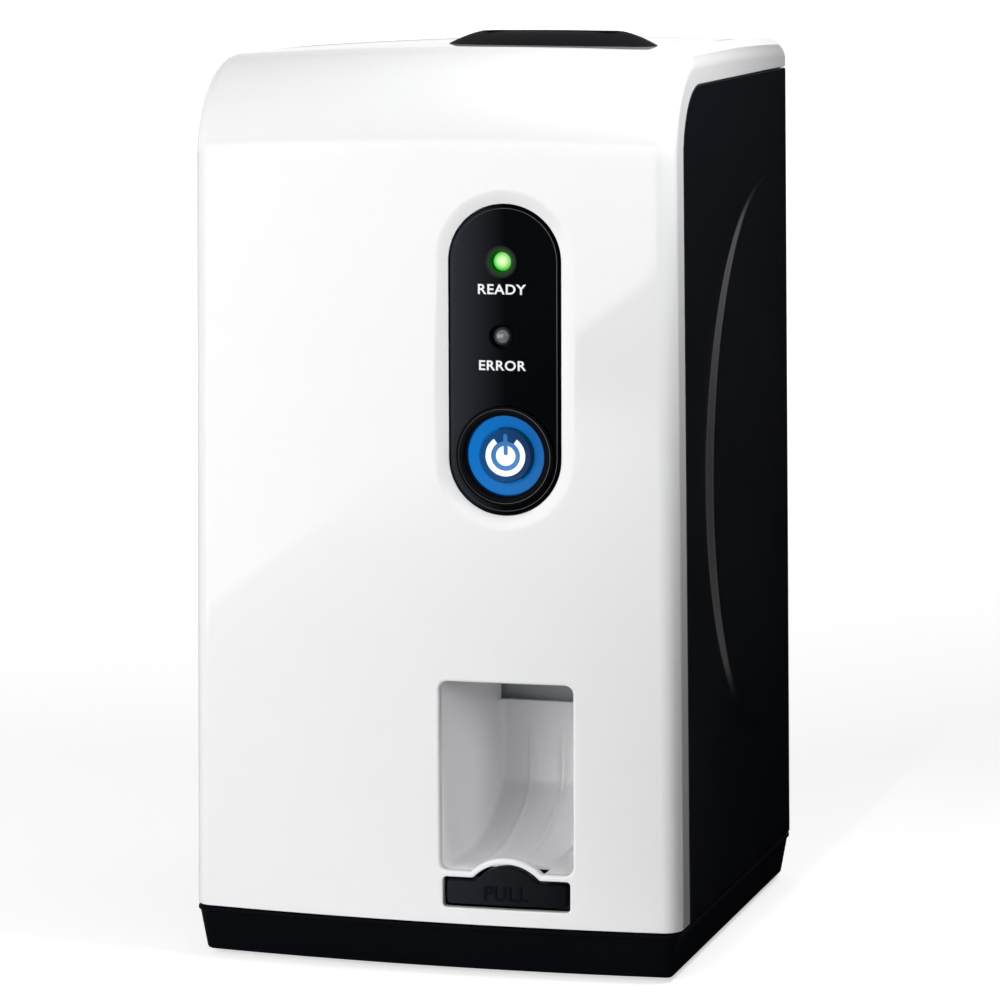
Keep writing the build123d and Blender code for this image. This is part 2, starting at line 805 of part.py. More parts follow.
# The button's return spring stands round the switch, one unbroken wire of square section
spring_radius = switch_side * math.sqrt(2) / 2 + spring_wire / 2 + spring_clearance
spring_length = board_front_y - cap_back - spring_wire - 2 * fit_gap
spring_path = Helix(pitch=spring_length / spring_turns, height=spring_length, radius=spring_radius)
start = spring_path @ 0
spring_face = Plane(origin=start, z_dir=spring_path % 0) * RegularPolygon(spring_wire / 2, 4)
spring = sweep(spring_face, path=spring_path, is_frenet=True)
spring_start = cap_back + spring_wire / 2 + fit_gap
parts["button_spring"] = Pos(fascia_x, spring_start, button_centre_z) * Rot(-90, 0, 0) * spring
print("spring pitch less wire", round(spring_length / spring_turns - spring_wire, 2))

for name, z in led_spots.items():
    lens = rod_y(well_face_y + led_sink, board_front_y, fascia_x, z, led_diameter / 2)
    tip = lens.edges().filter_by(GeomType.CIRCLE).group_by(Axis.Y)[0]
    lens = chamfer(tip, led_chamfer)
    flange_front = board_front_y - led_flange_height
    parts[name] = lens + rod_y(flange_front, board_front_y, fascia_x, z, led_diameter / 2 + led_flange)

board_low = button_centre_z - control_board_drop
control_board = block(
    fascia_x - control_board_width / 2, fascia_x + control_board_width / 2,
    board_front_y, board_back_y, board_low, board_low + control_board_height,
)
for x, z in control_post_spots:
    control_board -= rod_y(board_front_y - cut_past, board_back_y + cut_past, x, z, boss_bore / 2 + fit_gap)
parts["control_board"] = control_board

# Pocket liner: two walls, and a floor that curves up into the chute, in one moulding
liner_front = front_y + wall + front_bow / 2 + fit_gap
liner_low = floor_z - scoop_wall
chute_y = pocket_back - chute_radius
chute_z = floor_z + chute_radius
scoop_z = foot_height + scoop_top
liner_top = ceiling_z - fit_gap


def chute_line(offset):
    """The chute's side view, moved away from the pocket by offset: floor, bend, back."""
    floor = Line((liner_front, floor_z - offset), (chute_y, floor_z - offset))
    turn = math.sqrt(0.5) * (chute_radius + offset)
    bend = ThreePointArc(
        (chute_y, floor_z - offset), (chute_y + turn, chute_z - turn), (pocket_back + offset, chute_z)
    )
    back = Line((pocket_back + offset, chute_z), (pocket_back + offset, scoop_z))
    return floor, bend, back


def chute_band(inside, outside):
    """The side view of a band that follows the chute between two offsets."""
    near = chute_line(inside)
    distant = chute_line(outside)
    front = Line((liner_front, floor_z - inside), (liner_front, floor_z - outside))
    top = Line((pocket_back + inside, scoop_z), (pocket_back + outside, scoop_z))
    return make_face(near[0] + near[1] + near[2] + top + distant[2] + distant[1] + distant[0] + front)


wall_floor, wall_bend, wall_back = chute_line(scoop_wall)
wall_rest = Polyline(
    (pocket_back + scoop_wall, scoop_z), (pocket_back + scoop_wall, liner_top),
    (liner_front, liner_top), (liner_front, floor_z - scoop_wall),
)
wall_face = make_face(wall_floor + wall_bend + wall_back + wall_rest)
liner = prism_x(chute_band(0, scoop_wall), liner_x0 - liner_wall, liner_x1 + liner_wall)
liner += prism_x(wall_face, liner_x0 - liner_wall, liner_x0)
liner += prism_x(wall_face, liner_x1, liner_x1 + liner_wall)
for shift in (-rib_pitch, 0, rib_pitch):
    rib_x = path_x + shift
    liner += prism_x(chute_band(-rib_height, scoop_wall / 4), rib_x - rib_width / 2, rib_x + rib_width / 2)
notch_back = liner_front + notch_depth
notch = Pos(path_x, notch_back - notch_depth) * RectangleRounded(notch_width, 2 * notch_depth, notch_radius)
liner -= prism_z(notch, liner_low - cut_past, floor_z + 2 * rib_height)
parts["chute_liner"] = liner

# Dark ceiling and upper back of the pocket, with the slot that the plate drops through
hood_x0 = liner_x0 - liner_wall
hood_x1 = liner_x1 + liner_wall
hood_back = pocket_back + throat_depth
hood_top = ceiling_z + liner_wall
throat_z = scoop_z - throat_drop
throat_front = pocket_back + scoop_wall + fit_gap
hood = block(hood_x0, hood_x1, liner_front, hood_back, ceiling_z, hood_top)
hood += block(hood_x0, hood_x1, hood_back - liner_wall, hood_back, throat_z, hood_top)
hood += block(hood_x0, hood_x1, throat_front, hood_back, throat_z, throat_z + liner_wall)
drop_slot = RectangleRounded(slot_length + 2 * drop_slot_margin, slot_width + drop_slot_margin, slot_radius)
hood -= prism_z(Pos(path_x, path_y) * drop_slot, ceiling_z - cut_past, hood_top + cut_past)
for near_x, plate_x in ((hood_x0 + hood_lap, plate_x0 + fit_gap), (hood_x1 - hood_lap, plate_x1 - fit_gap)):
    hood += block(near_x, plate_x, hood_back - hood_tab, hood_back, ceiling_z, hood_top)
parts["exit_hood"] = hood

# Drawer under the pocket, with the pull handle as its front
drawer_x0 = path_x - drawer_width / 2
drawer_x1 = path_x + drawer_width / 2
drawer_low = liner_low - drawer_clearance - drawer_height
drawer_high = drawer_low + drawer_height
pull_back = surface_y(path_x, pull_recess) + pull_thickness
drawer_back = pocket_back - drawer_short
tray = block(drawer_x0, drawer_x1, pull_back, drawer_back, drawer_low, drawer_high)
tray -= block(
    drawer_x0 + drawer_wall, drawer_x1 - drawer_wall, pull_back + drawer_wall, drawer_back - drawer_wall,
    drawer_low + drawer_wall, drawer_high + cut_past,
)
lug_low = (drawer_low + drawer_high - lug_height) / 2
lug_high = lug_low + lug_height
for side in (-1, 1):
    edge = path_x + side * drawer_width / 2
    tray += block(edge, edge + side * lug_reach, drawer_back - lug_length, drawer_back, lug_low, lug_high)
parts["drawer_tray"] = tray

pull_form = inner_form(pull_recess, seam_z - wall)
parts["drawer_handle"] = prism_y(pull_outline(-pull_gap), before, pull_back) & pull_form

# Runners: an angle each side, fixed to the transport plates, with a groove for the lug
runner_front = pull_back + drawer_wall
runner_back = drawer_back + runner_overrun
ledge_high = drawer_low - fit_gap
ledge_low = ledge_high - runner_ledge
for side, name in ((-1, "drawer_runner_left"), (1, "drawer_runner_right")):
    inside = path_x + side * (drawer_width / 2 + drawer_clearance)
    outside = path_x + side * (transport_gap / 2 - fit_gap / 2)
    runner = block(inside, outside, runner_front, runner_back, ledge_low, liner_low - fit_gap)
    runner += block(inside - side * ledge_reach, outside, runner_front, runner_back, ledge_low, ledge_high)
    groove_front = drawer_back - lug_length - drawer_travel - fit_gap
    runner -= block(
        inside, inside + side * (lug_reach + fit_gap), groove_front, runner_back + cut_past,
        lug_low - fit_gap, lug_high + fit_gap,
    )
    parts[name] = runner

# Transport frame: two sheet plates that stand on the base, either side of the plate's path
roller_spots = [
    (roller_y, z) for roller_y in (drive_y, pinch_y) for z in (upper_roller_z, lower_roller_z)
]
motor_bolts = [
    (motor_y + sy * motor_bolt_spacing / 2, motor_z + sz * motor_bolt_spacing / 2)
    for sy in (-1, 1) for sz in (-1, 1)
]
plate_front = path_y - plate_front_reach
plate_rear = path_y + plate_rear_reach
plate_top = crown_z - plate_top_drop
bay_rear = path_y + bay_reach
bay_bottom = deck_z - bay_below_deck
bay_top = upper_roller_z
outline = make_face(Polyline(
    (plate_front, base_floor), (plate_rear, base_floor), (plate_rear, bay_bottom), (bay_rear, bay_bottom),
    (bay_rear, bay_top), (plate_rear, bay_top), (plate_rear, plate_top), (plate_front, plate_top),
    (plate_front, base_floor),
))
outline = fillet(outline.vertices().filter_by(lambda v: v.Y > base_floor + wall), plate_corner_radius)
opening = RectangleRounded(bay_opening, bay_opening, bay_opening_radius)
outline -= Pos((plate_rear + bay_rear) / 2, scan_z + bay_opening_rise) * opening
bush_hole = RegularPolygon(bush_diameter / 2 + press_gap, 8)
flange_top = base_floor + plate_gauge
screw_bite = wall - web_half / 2
frame_screws = []
for side, name in ((-1, "transport_plate_left"), (1, "transport_plate_right")):
    inner_x = path_x + side * transport_gap / 2
    outer_x = inner_x + side * plate_gauge
    plate = prism_x(outline, min(inner_x, outer_x), max(inner_x, outer_x))
    flange_x = outer_x + side * plate_flange
    plate += block(inner_x, flange_x, plate_front, plate_rear, base_floor, flange_top)
    for y, z in roller_spots:
        plate -= prism_x(Pos(y, z) * bush_hole, inner_x - cut_past, inner_x + cut_past)
    screw_x = outer_x + side * plate_flange / 2
    for y in (plate_front + foot_screw_inset, plate_rear - foot_screw_inset):
        plate -= rod_z(0, flange_top + cut_past, screw_x, y, screw_diameter / 2 + fit_gap)
        base -= rod_z(base_floor - screw_bite, flange_top, screw_x, y, screw_diameter / 2)
        reach = plate_gauge + screw_bite - fit_gap
        frame_screws.append(screw((screw_x, y, flange_top), (0, 0, -1), reach))
    if side < 0:
        bore = motor_boss / 2 + fit_gap
        plate -= rod_x(inner_x - cut_past, inner_x + cut_past, motor_y, motor_z, bore)
        for y, z in motor_bolts:
            plate -= rod_x(inner_x - cut_past, inner_x + cut_past, y, z, screw_diameter / 2 + fit_gap)
    parts[name] = plate
parts["base_tray"] = base

# Bushes for the four roller shafts, eight-sided so that they can't turn in the plates
bushes = []
for side in (-1, 1):
    inner_x = path_x + side * transport_gap / 2
    outer_x = inner_x + side * plate_gauge
    rim_x = outer_x + side * bush_flange
    for y, z in roller_spots:
        barrel = Pos(y, z) * RegularPolygon(bush_diameter / 2, 8)
        rim = Pos(y, z) * RegularPolygon(bush_flange_diameter / 2, 8)
        bush = prism_x(barrel, min(inner_x, outer_x), max(inner_x, outer_x))
        bush += prism_x(rim, min(outer_x, rim_x), max(outer_x, rim_x))
        bush -= rod_x(inner_x - cut_past, inner_x + cut_past, y, z, shaft_diameter / 2 + shaft_clearance)
        bushes.append(bush)
parts["roller_bushes"] = Compound(bushes)

# Rollers: driven shafts with rubber tyres, and plain pinch rollers that they turn
shaft_left = belt_x - pulley_face / 2 - pulley_flange - shaft_end
shaft_right = plate_x1 + plate_gauge + bush_flange + shaft_end
for place, z in (("upper", upper_roller_z), ("lower", lower_roller_z)):
    shaft = rod_x(shaft_left, shaft_right, drive_y, z, shaft_diameter / 2)
    parts[f"{place}_drive_shaft"] = shaft
    tyres = []
    for side in (-1, 1):
        middle = path_x + side * tyre_offset
        tyre = rod_x(middle - tyre_length / 2, middle + tyre_length / 2, drive_y, z, drive_radius)
        tyre -= rod_x(shaft_left, shaft_right, drive_y, z, (shaft_diameter + press_gap) / 2)
        tyres.append(tyre)
    parts[f"{place}_drive_tyres"] = Compound(tyres)
    pinch = rod_x(plate_x0 - pinch_stub, plate_x1 + pinch_stub, pinch_y, z, shaft_diameter / 2)
    half = tyre_offset + tyre_length / 2
    pinch += rod_x(path_x - half, path_x + half, pinch_y, z, pinch_radius)
    parts[f"{place}_pinch_roller"] = pinch

# Leaf springs on the outside of the plates press the pinch shafts back
springs = []
leaf_y = pinch_y - shaft_diameter / 2 - fit_gap
leaf_front = leaf_y - leaf_gauge
for side in (-1, 1):
    outer_x = path_x + side * (transport_gap / 2 + plate_gauge)
    near_x = outer_x + side * (bush_flange + leaf_clearance)
    end_x = outer_x + side * (pinch_stub - plate_gauge)
    for z in (upper_roller_z, lower_roller_z):
        leaf_top = z + leaf_length
        foot_low = leaf_top - leaf_foot
        spring_leaf = block(near_x, end_x, leaf_front, leaf_y, z - leaf_tail, leaf_top)
        spring_leaf += block(outer_x, end_x, leaf_front, leaf_y, foot_low, leaf_top)
        foot_x1 = outer_x + side * leaf_gauge
        spring_leaf += block(outer_x, foot_x1, leaf_front, leaf_y + leaf_foot, foot_low, leaf_top)
        springs.append(spring_leaf)
parts["pinch_springs"] = Compound(springs)


def pulley(y, z, bore, flange=0.0):
    """A belt pulley with straight-sided teeth on an axis along X, and a flange each side if asked."""
    corners = []
    root = pulley_radius - pulley_tooth
    profile = (
        (0, root), (tooth_flank, pulley_radius), (tooth_land, pulley_radius), (tooth_land + tooth_flank, root)
    )
    for tooth in range(pulley_teeth):
        for share, radius in profile:
            angle = 2 * math.pi * (tooth + share) / pulley_teeth
            corners.append((y + radius * math.cos(angle), z + radius * math.sin(angle)))
    half = pulley_face / 2
    wheel = prism_x(make_face(Polyline(*corners, close=True)), belt_x - half, belt_x + half)
    if flange:
        rim = pulley_radius + belt_thickness + pulley_rim
        wheel += rod_x(belt_x - half - flange, belt_x - half, y, z, rim)
        wheel += rod_x(belt_x + half, belt_x + half + flange, y, z, rim)
    return wheel - rod_x(shaft_left - cut_past, plate_x0, y, z, (bore + press_gap) / 2)


parts["upper_pulley"] = pulley(drive_y, upper_roller_z, shaft_diameter)
parts["lower_pulley"] = pulley(drive_y, lower_roller_z, shaft_diameter)
parts["motor_pulley"] = pulley(motor_y, motor_z, motor_shaft_diameter, pulley_flange)
loop = make_face(Polyline(
    (drive_y, upper_roller_z), (motor_y, motor_z), (drive_y, lower_roller_z), (drive_y, upper_roller_z)
))
belt_in = pulley_radius + belt_clearance
belt_face = offset(loop, belt_in + belt_thickness, kind=Kind.ARC) - offset(loop, belt_in, kind=Kind.ARC)
parts["timing_belt"] = prism_x(belt_face, belt_x - belt_width / 2, belt_x + belt_width / 2)

# Feed motor behind the left plate, its shaft through to the belt
square = Pos(motor_y, motor_z) * Rectangle(motor_side, motor_side)
square = chamfer(square.vertices(), motor_chamfer)
motor = prism_x(square, plate_x0, plate_x0 + motor_length)
motor += rod_x(plate_x0 - plate_gauge, plate_x0, motor_y, motor_z, motor_boss / 2)
motor_bore = plate_x0 + motor_length / 2
motor -= rod_x(shaft_left, motor_bore, motor_y, motor_z, motor_shaft_diameter / 2 + fit_gap)
bolt_seat = plate_x0 - plate_gauge
for y, z in motor_bolts:
    motor -= rod_x(bolt_seat, plate_x0 + motor_bolt_depth + fit_gap, y, z, screw_diameter / 2)
    frame_screws.append(screw((bolt_seat, y, z), (1, 0, 0), plate_gauge + motor_bolt_depth))
parts["stepper_motor"] = motor
parts["motor_shaft"] = rod_x(shaft_left, motor_bore - fit_gap, motor_y, motor_z, motor_shaft_diameter / 2)
parts["frame_screws"] = Compound(frame_screws)

# Guides: two thin sheets that keep the plate in its path, open at the rollers and the scan line
guide_low = hood_top + guide_end_gap
guide_high = seal_low - guide_end_gap
inside_x0 = plate_x0 + fit_gap / 2
inside_x1 = plate_x1 - fit_gap / 2
guide_x0 = plate_x0 + guide_margin
guide_x1 = plate_x1 - guide_margin
for name, near, light_z in (
    ("plate_guide_front", path_y - guide_gap / 2 - guide_gauge, eraser_z),
    ("plate_guide_rear", path_y + guide_gap / 2, scan_z),
):
    guide = block(inside_x0, inside_x1, near, near + guide_gauge, guide_low, guide_high)
    for z, tall in (
        (upper_roller_z, roller_window), (lower_roller_z, roller_window), (light_z, scan_window)
    ):
        guide -= block(guide_x0, guide_x1, near - cut_past, near + cut_past, z - tall / 2, z + tall / 2)
    parts[name] = guide

# Optics deck between the plates: laser, swinging mirror and its motor
deck_top = deck_z + deck_gauge
deck_front = drive_y + drive_radius + deck_clearance
deck_rear = mirror_y + deck_margin
skirt_rear = bay_rear - deck_skirt_short
deck = block(inside_x0, inside_x1, deck_front, deck_rear, deck_z, deck_top)
for x0 in (inside_x0, inside_x1 - deck_gauge):
    deck += block(x0, x0 + deck_gauge, deck_front, skirt_rear, deck_z - deck_skirt, deck_z)
parts["optics_deck"] = deck
mirror_low = scan_z - mirror_size / 2
motor_top = deck_top + mirror_motor_height
pin_low = deck_top + mirror_motor_floor
mirror_motor = rod_z(deck_top, motor_top, path_x, mirror_y, mirror_motor_diameter / 2)
mirror_motor -= rod_z(pin_low, mirror_low, path_x, mirror_y, mirror_pin / 2 + fit_gap)
parts["mirror_motor"] = mirror_motor
turned = Pos(path_x, mirror_y, 0) * Rot(0, 0, 45)
half = mirror_size / 2
clamp_low = mirror_low - mirror_clamp
pin = rod_z(pin_low + fit_gap, mirror_low - mirror_clamp / 2, path_x, mirror_y, mirror_pin / 2)
pin += turned * block(-half, half, -mirror_thickness, mirror_thickness, clamp_low, mirror_low)
parts["mirror_shaft"] = pin
parts["scan_mirror"] = turned * block(
    -half, half, -mirror_thickness / 2, mirror_thickness / 2, mirror_low, mirror_low + mirror_size
)
laser_x0 = plate_x0 + laser_inset
laser_x1 = laser_x0 + laser_length
parts["laser_module"] = rod_x(laser_x0, laser_x1, mirror_y, scan_z, laser_diameter / 2)
clamp_x0 = laser_x0 + clamp_inset
clamp = block(
    clamp_x0, clamp_x0 + clamp_length, mirror_y - clamp_width / 2, mirror_y + clamp_width / 2,
    deck_top, scan_z + laser_diameter / 2 + clamp_cover,
)
clamp -= rod_x(laser_x0, laser_x1, mirror_y, scan_z, laser_diameter / 2 + press_gap)
parts["laser_clamp"] = clamp

# Detector: a clear light guide gathers the glow at the scan line into the tube
guide_front = path_y + guide_gap / 2 + guide_gauge + light_guide_gap
near_z = scan_z + light_guide_rise
near_rise = light_guide_height / 2
far_rise = light_guide_end_height / 2
guide_side = make_face(Polyline(
    (guide_front, near_z - near_rise), (tube_front, detector_z - far_rise),
    (tube_front, detector_z + far_rise), (guide_front, near_z + near_rise), close=True,
))
near_half = light_guide_width / 2
far_half = light_guide_end_width / 2
guide_plan = make_face(Polyline(
    (path_x - near_half, guide_front), (path_x + near_half, guide_front),
    (path_x + far_half, tube_front), (path_x - far_half, tube_front), close=True,
))
light_guide = prism_x(guide_side, plate_x0, plate_x1)
parts["light_guide"] = light_guide & prism_z(guide_plan, scan_z, detector_z + tube_side)
tube_face = Pos(path_x, detector_z) * Rectangle(tube_side, tube_side)
tube_face = chamfer(tube_face.vertices(), tube_chamfer)
tube_back = tube_front + tube_length
parts["photomultiplier"] = prism_y(tube_face, tube_front, tube_back)
shelf_z = detector_z + tube_side / 2
parts["detector_shelf"] = block(
    inside_x0, inside_x1, tube_front - shelf_front, tube_back, shelf_z, shelf_z + deck_gauge
)

# Eraser: a bar of lamps on a board across the front of the path
eraser_low = eraser_z - eraser_height / 2
eraser_back = eraser_y - board_thickness
eraser = block(inside_x0, inside_x1, eraser_back, eraser_y, eraser_low, eraser_low + eraser_height)
lamp_half = lamp_side / 2
for index in range(eraser_lamps):
    lamp_x = path_x + (index - (eraser_lamps - 1) / 2) * eraser_pitch
    eraser += block(
        lamp_x - lamp_half, lamp_x + lamp_half, eraser_back, eraser_y + lamp_height,
        eraser_z - lamp_half, eraser_z + lamp_half,
    )
parts["eraser_board"] = eraser

# Main board on the rear cover, with its sockets facing out
socket_back = back_y - socket_recess
board = block(
    main_board_left, main_board_right, main_board_y, board_face, main_board_low, main_board_high
)
board_x = (main_board_left + main_board_right) / 2
board_z = (main_board_low + main_board_high) / 2
for x, z, side, height in (
    (board_x - chip_side, board_z + chip_side / 2, chip_side, chip_height),
    (board_x - chip_side, board_z - chip_side / 2, header_width, header_height),
    (board_x + coil_side, board_z, coil_side, coil_height),
):
    half = side / 2
    board += block(x - half, x + half, main_board_y - height, board_face, z - half, z + half)
for x, z in board_post_spots:
    board -= rod_y(main_board_y - cut_past, back_y, x, z, screw_diameter / 2 + fit_gap)
parts["main_board"] = board
usb = block(
    usb_x - usb_width / 2, usb_x + usb_width / 2, board_face, socket_back,
    connector_z - usb_height / 2, connector_z + usb_height / 2,
)
usb_end = socket_back - usb_mouth_depth
mouth = Pos(usb_x, connector_z) * Rectangle(usb_mouth_width, usb_mouth_height)
tongue = Pos(usb_x, connector_z) * Rectangle(usb_tongue_width, usb_tongue_height)
usb -= prism_y(mouth, usb_end, back_y)
usb += prism_y(tongue, usb_end - fit_gap, socket_back - socket_lip)
parts["usb_socket"] = usb
jack = block(
    jack_x - jack_side / 2, jack_x + jack_side / 2, board_face, socket_back,
    connector_z - jack_height / 2, connector_z + jack_height / 2,
)
jack_end = socket_back - jack_depth
jack -= rod_y(jack_end, back_y, jack_x, connector_z, jack_mouth / 2)
jack += rod_y(jack_end - fit_gap, socket_back - socket_lip, jack_x, connector_z, jack_pin / 2)
parts["power_jack"] = jack

# Rocker switch beside them; the rocker is drawn at rest, tilted to off
rocker_y = socket_back - rocker_depth
switch_box = block(
    switch_x - switch_opening_width / 2, switch_x + switch_opening_width / 2,
    rocker_y - switch_back, socket_back,
    connector_z - switch_opening_height / 2, connector_z + switch_opening_height / 2,
)
rocker_half = rocker_width / 2
switch_box -= block(
    switch_x - rocker_half - fit_gap, switch_x + rocker_half + fit_gap, rocker_y - rocker_well, back_y,
    connector_z - rocker_reach, connector_z + rocker_reach,
)
pin_half = rocker_half + rocker_pin
pin_room = pin_half + 2 * fit_gap
pin_bore = rocker_pin + shaft_clearance
switch_box -= rod_x(switch_x - pin_room, switch_x + pin_room, rocker_y, connector_z, pin_bore)
parts["power_switch"] = switch_box
rocker_face = make_face(Polyline(
    (-rocker_root_y, -rocker_root_z), (rocker_tip_y, -rocker_tip_z), (rocker_tip_y - rocker_dip, 0),
    (rocker_tip_y, rocker_tip_z), (-rocker_root_y, rocker_root_z), close=True,
))
rocker_face = Pos(rocker_y, connector_z) * Rot(0, 0, -rocker_tilt) * rocker_face
rocker = prism_x(rocker_face, switch_x - rocker_half, switch_x + rocker_half)
rocker += rod_x(switch_x - pin_half, switch_x + pin_half, rocker_y, connector_z, rocker_pin)
parts["power_rocker"] = rocker

# Case screws: four up through the base, four through the rear cover
case_screws = []
up_reach = post_high - wall - fit_gap - screw_seat_z
for x, y in base_screw_spots:
    case_screws.append(screw((x, y, screw_seat_z), (0, 0, 1), up_reach))
for x, z in rear_screw_spots:
    case_screws.append(screw((x, rear_seat, z), (0, -1, 0), screw_reach))
parts["case_screws"] = Compound(case_screws)

for name, shape in parts.items():
    print(name, "valid" if shape.is_valid else "INVALID", len(shape.solids()), round(shape.volume, 1))
print("nodes", len(parts))
os.makedirs("parts", exist_ok=True)
for name, shape in parts.items():
    export_step(shape, f"parts/{name}.step")
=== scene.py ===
"""The looks of a desktop scanner for dental imaging plates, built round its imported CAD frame.

The object's sizes are in millimetres until a mesh is made, and the studio's cards and lamps are in
metres. +Z is up and the front faces -Y.
"""
import logging
import math
from dataclasses import dataclass, field
from enum import Enum
from typing import Callable, Optional, Sequence

import bpy
import numpy as np
from mathutils import Matrix, Vector, geometry


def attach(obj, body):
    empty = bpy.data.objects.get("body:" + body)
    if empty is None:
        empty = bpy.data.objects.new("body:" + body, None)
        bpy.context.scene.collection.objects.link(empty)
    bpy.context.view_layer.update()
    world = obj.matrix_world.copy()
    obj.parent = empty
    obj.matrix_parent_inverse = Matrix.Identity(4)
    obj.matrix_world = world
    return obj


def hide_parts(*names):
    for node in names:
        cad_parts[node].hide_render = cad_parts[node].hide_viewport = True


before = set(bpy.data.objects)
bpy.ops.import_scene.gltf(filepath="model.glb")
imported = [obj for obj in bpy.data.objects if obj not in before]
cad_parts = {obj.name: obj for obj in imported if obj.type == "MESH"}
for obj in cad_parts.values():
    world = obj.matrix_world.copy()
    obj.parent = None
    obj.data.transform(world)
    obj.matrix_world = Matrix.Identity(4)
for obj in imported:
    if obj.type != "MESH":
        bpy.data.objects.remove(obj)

Array = np.ndarray
PointMap = Callable[[Array], Array]
Node = bpy.types.Node
Socket = bpy.types.NodeSocket
Pair = tuple[float, float]
Place = tuple[float, float, float]
Color = tuple[float, float, float]
MM = 0.001
MIX_SHARE, MIX_FROM, MIX_TO, MIX_RESULT = 0, 6, 7, 2  # sockets of a colour Mix node
CLOUD_SCALE, CLOUD_DETAIL = 22.0, 3.0  # noise of the slow drift in colour and roughness
GRIT_DETAIL, GRIT_DEPTH = 2.0, 0.0002  # noise of the fine relief, and its depth in metres
RIM_STEPS = (22.5, 45.0, 67.5, 90.0)  # angles at which a rounded rim gets a row of points
LETTER_WEIGHT, LETTER_SPACING = 0.019, 1.08  # how much the letters are thickened and spread
LETTER_ROOT = 0.2  # how deep the letters reach into their surface
WHITE_LIGHT = (1.0, 1.0, 1.0, 1.0)
log = logging.getLogger("scanner")


class Body(str, Enum):
    """The CAD bodies that a piece can ride on."""

    HOUSING = "housing"
    BUTTON = "start_button"
    DRAWER = "drawer"


class Grain(Enum):
    """How fine the surface pattern of a finish is, as the scale of its noise."""

    POLISHED = 900.0
    SATIN = 1600.0
    SPARK = 2600.0
    MATT = 1100.0


class Wiring:
    """Adds shader nodes to a material or a world and joins their sockets."""

    def __init__(self, owner: bpy.types.Material | bpy.types.World) -> None:
        """Turns the owner's nodes on."""
        owner.use_nodes = True
        self.nodes, self.links = owner.node_tree.nodes, owner.node_tree.links

    def feed(self, node: Node, inputs: dict[str | int, object]) -> None:
        """Links each socket to its input, and sets any other value on the input itself.

        Args:
            node: The node that takes them.
            inputs: Sockets and values, by the input's name or number.
        """
        for key, value in inputs.items():
            if isinstance(value, Socket):
                self.links.new(value, node.inputs[key])
            else:
                node.inputs[key].default_value = value

    def add(self, kind: str, output: str | int, inputs: dict[str | int, object], **options: str) -> Socket:
        """Adds a node and feeds it.

        Args:
            kind: Its type, after the words that all shader nodes start with.
            output: Which output is wanted.
            inputs: What its inputs get.
            options: Its own settings.

        Returns:
            The output's socket.
        """
        node = self.nodes.new("ShaderNode" + kind)
        for option, value in options.items():
            setattr(node, option, value)
        self.feed(node, inputs)
        return node.outputs[output]

    def place(self) -> Socket:
        """Adds the object's own coordinates."""
        return self.add("TexCoord", "Object", {})

    def mix(self, share: Socket, first: Sequence[float], last: Sequence[float]) -> Socket:
        """Adds a colour that goes from the first tone to the last as the share goes from 0 to 1."""
        inputs = {MIX_SHARE: share, MIX_FROM: (*first, 1.0), MIX_TO: (*last, 1.0)}
        return self.add("Mix", MIX_RESULT, inputs, data_type="RGBA")

    def run(self, near: Color, far: Color, span: Pair) -> Socket:
        """Adds a colour that runs from one tone to another along X.

        Args:
            near: The first tone.
            far: The last tone.
            span: Where the run starts and ends.

        Returns:
            The colour's socket.
        """
        across = self.add("SeparateXYZ", "X", {"Vector": self.place()})
        ends = {"From Min": span[0] * MM, "From Max": span[1] * MM}
        return self.mix(self.add("MapRange", "Result", {"Value": across, **ends}), near, far)


@dataclass(frozen=True)
class Finish:
    """One surface finish: a shader with a colour drift, a roughness drift and a fine relief."""

    name: str
    color: Color
    roughness: float
    grain: Grain = Grain.SATIN
    relief: float = 0.02
    drift: float = 0.04
    wander: float = 0.15
    metallic: float = 0.0
    coat: float = 0.0
    coat_roughness: float = 0.03
    specular: float = 0.5
    transmission: float = 0.0
    sheen: float = 0.0
    ior: float = 1.5

    def material(self) -> bpy.types.Material:
        """Makes the node material once and returns it.

        Returns:
            The material, from the file's own list when it was made before.
        """
        found = bpy.data.materials.get(self.name)
        if found is not None:
            return found
        mat = bpy.data.materials.new(self.name)
        wiring = Wiring(mat)
        shader = wiring.nodes["Principled BSDF"]
        place = wiring.place()
        cloud = wiring.add("TexNoise", "Fac", {"Scale": CLOUD_SCALE, "Detail": CLOUD_DETAIL, "Vector": place})
        grit = wiring.add("TexNoise", "Fac", {"Scale": self.grain.value, "Detail": GRIT_DETAIL, "Vector": place})
        deep = [c * (1.0 - self.drift) for c in self.color]
        pale = [min(c * (1.0 + self.drift), 1.0) for c in self.color]
        spread = {
            "Value": cloud, "To Min": max(self.roughness * (1 - self.wander), 0.02),
            "To Max": min(self.roughness * (1 + self.wander), 1.0),
        }
        relief = {"Height": grit, "Strength": self.relief, "Distance": GRIT_DEPTH}
        wiring.feed(shader, {
            "Base Color": wiring.mix(cloud, deep, pale), "Metallic": self.metallic, "IOR": self.ior,
            "Roughness": wiring.add("MapRange", "Result", spread),
            "Normal": wiring.add("Bump", "Normal", relief),
            "Coat Weight": self.coat, "Coat Roughness": self.coat_roughness, "Sheen Weight": self.sheen,
            "Specular IOR Level": self.specular, "Transmission Weight": self.transmission,
        })
        self.adapt(wiring, shader)
        return mat

    def adapt(self, wiring: Wiring, shader: Node) -> None:
        """Changes the shader where a special finish needs it; a plain one needs nothing."""


@dataclass(frozen=True)
class PaintedLightRunFinish(Finish):
    """A finish whose colour runs from one tone to another along X: painted light and shade, lighter towards one
    side.
    """

    far_color: Color = (0.0, 0.0, 0.0)
    near_x: float = 0.0
    far_x: float = 40.0

    def adapt(self, wiring: Wiring, shader: Node) -> None:
        """Puts the run of painted light and shade in place of the even colour."""
        wiring.feed(shader, {"Base Color": wiring.run(self.color, self.far_color, (self.near_x, self.far_x))})


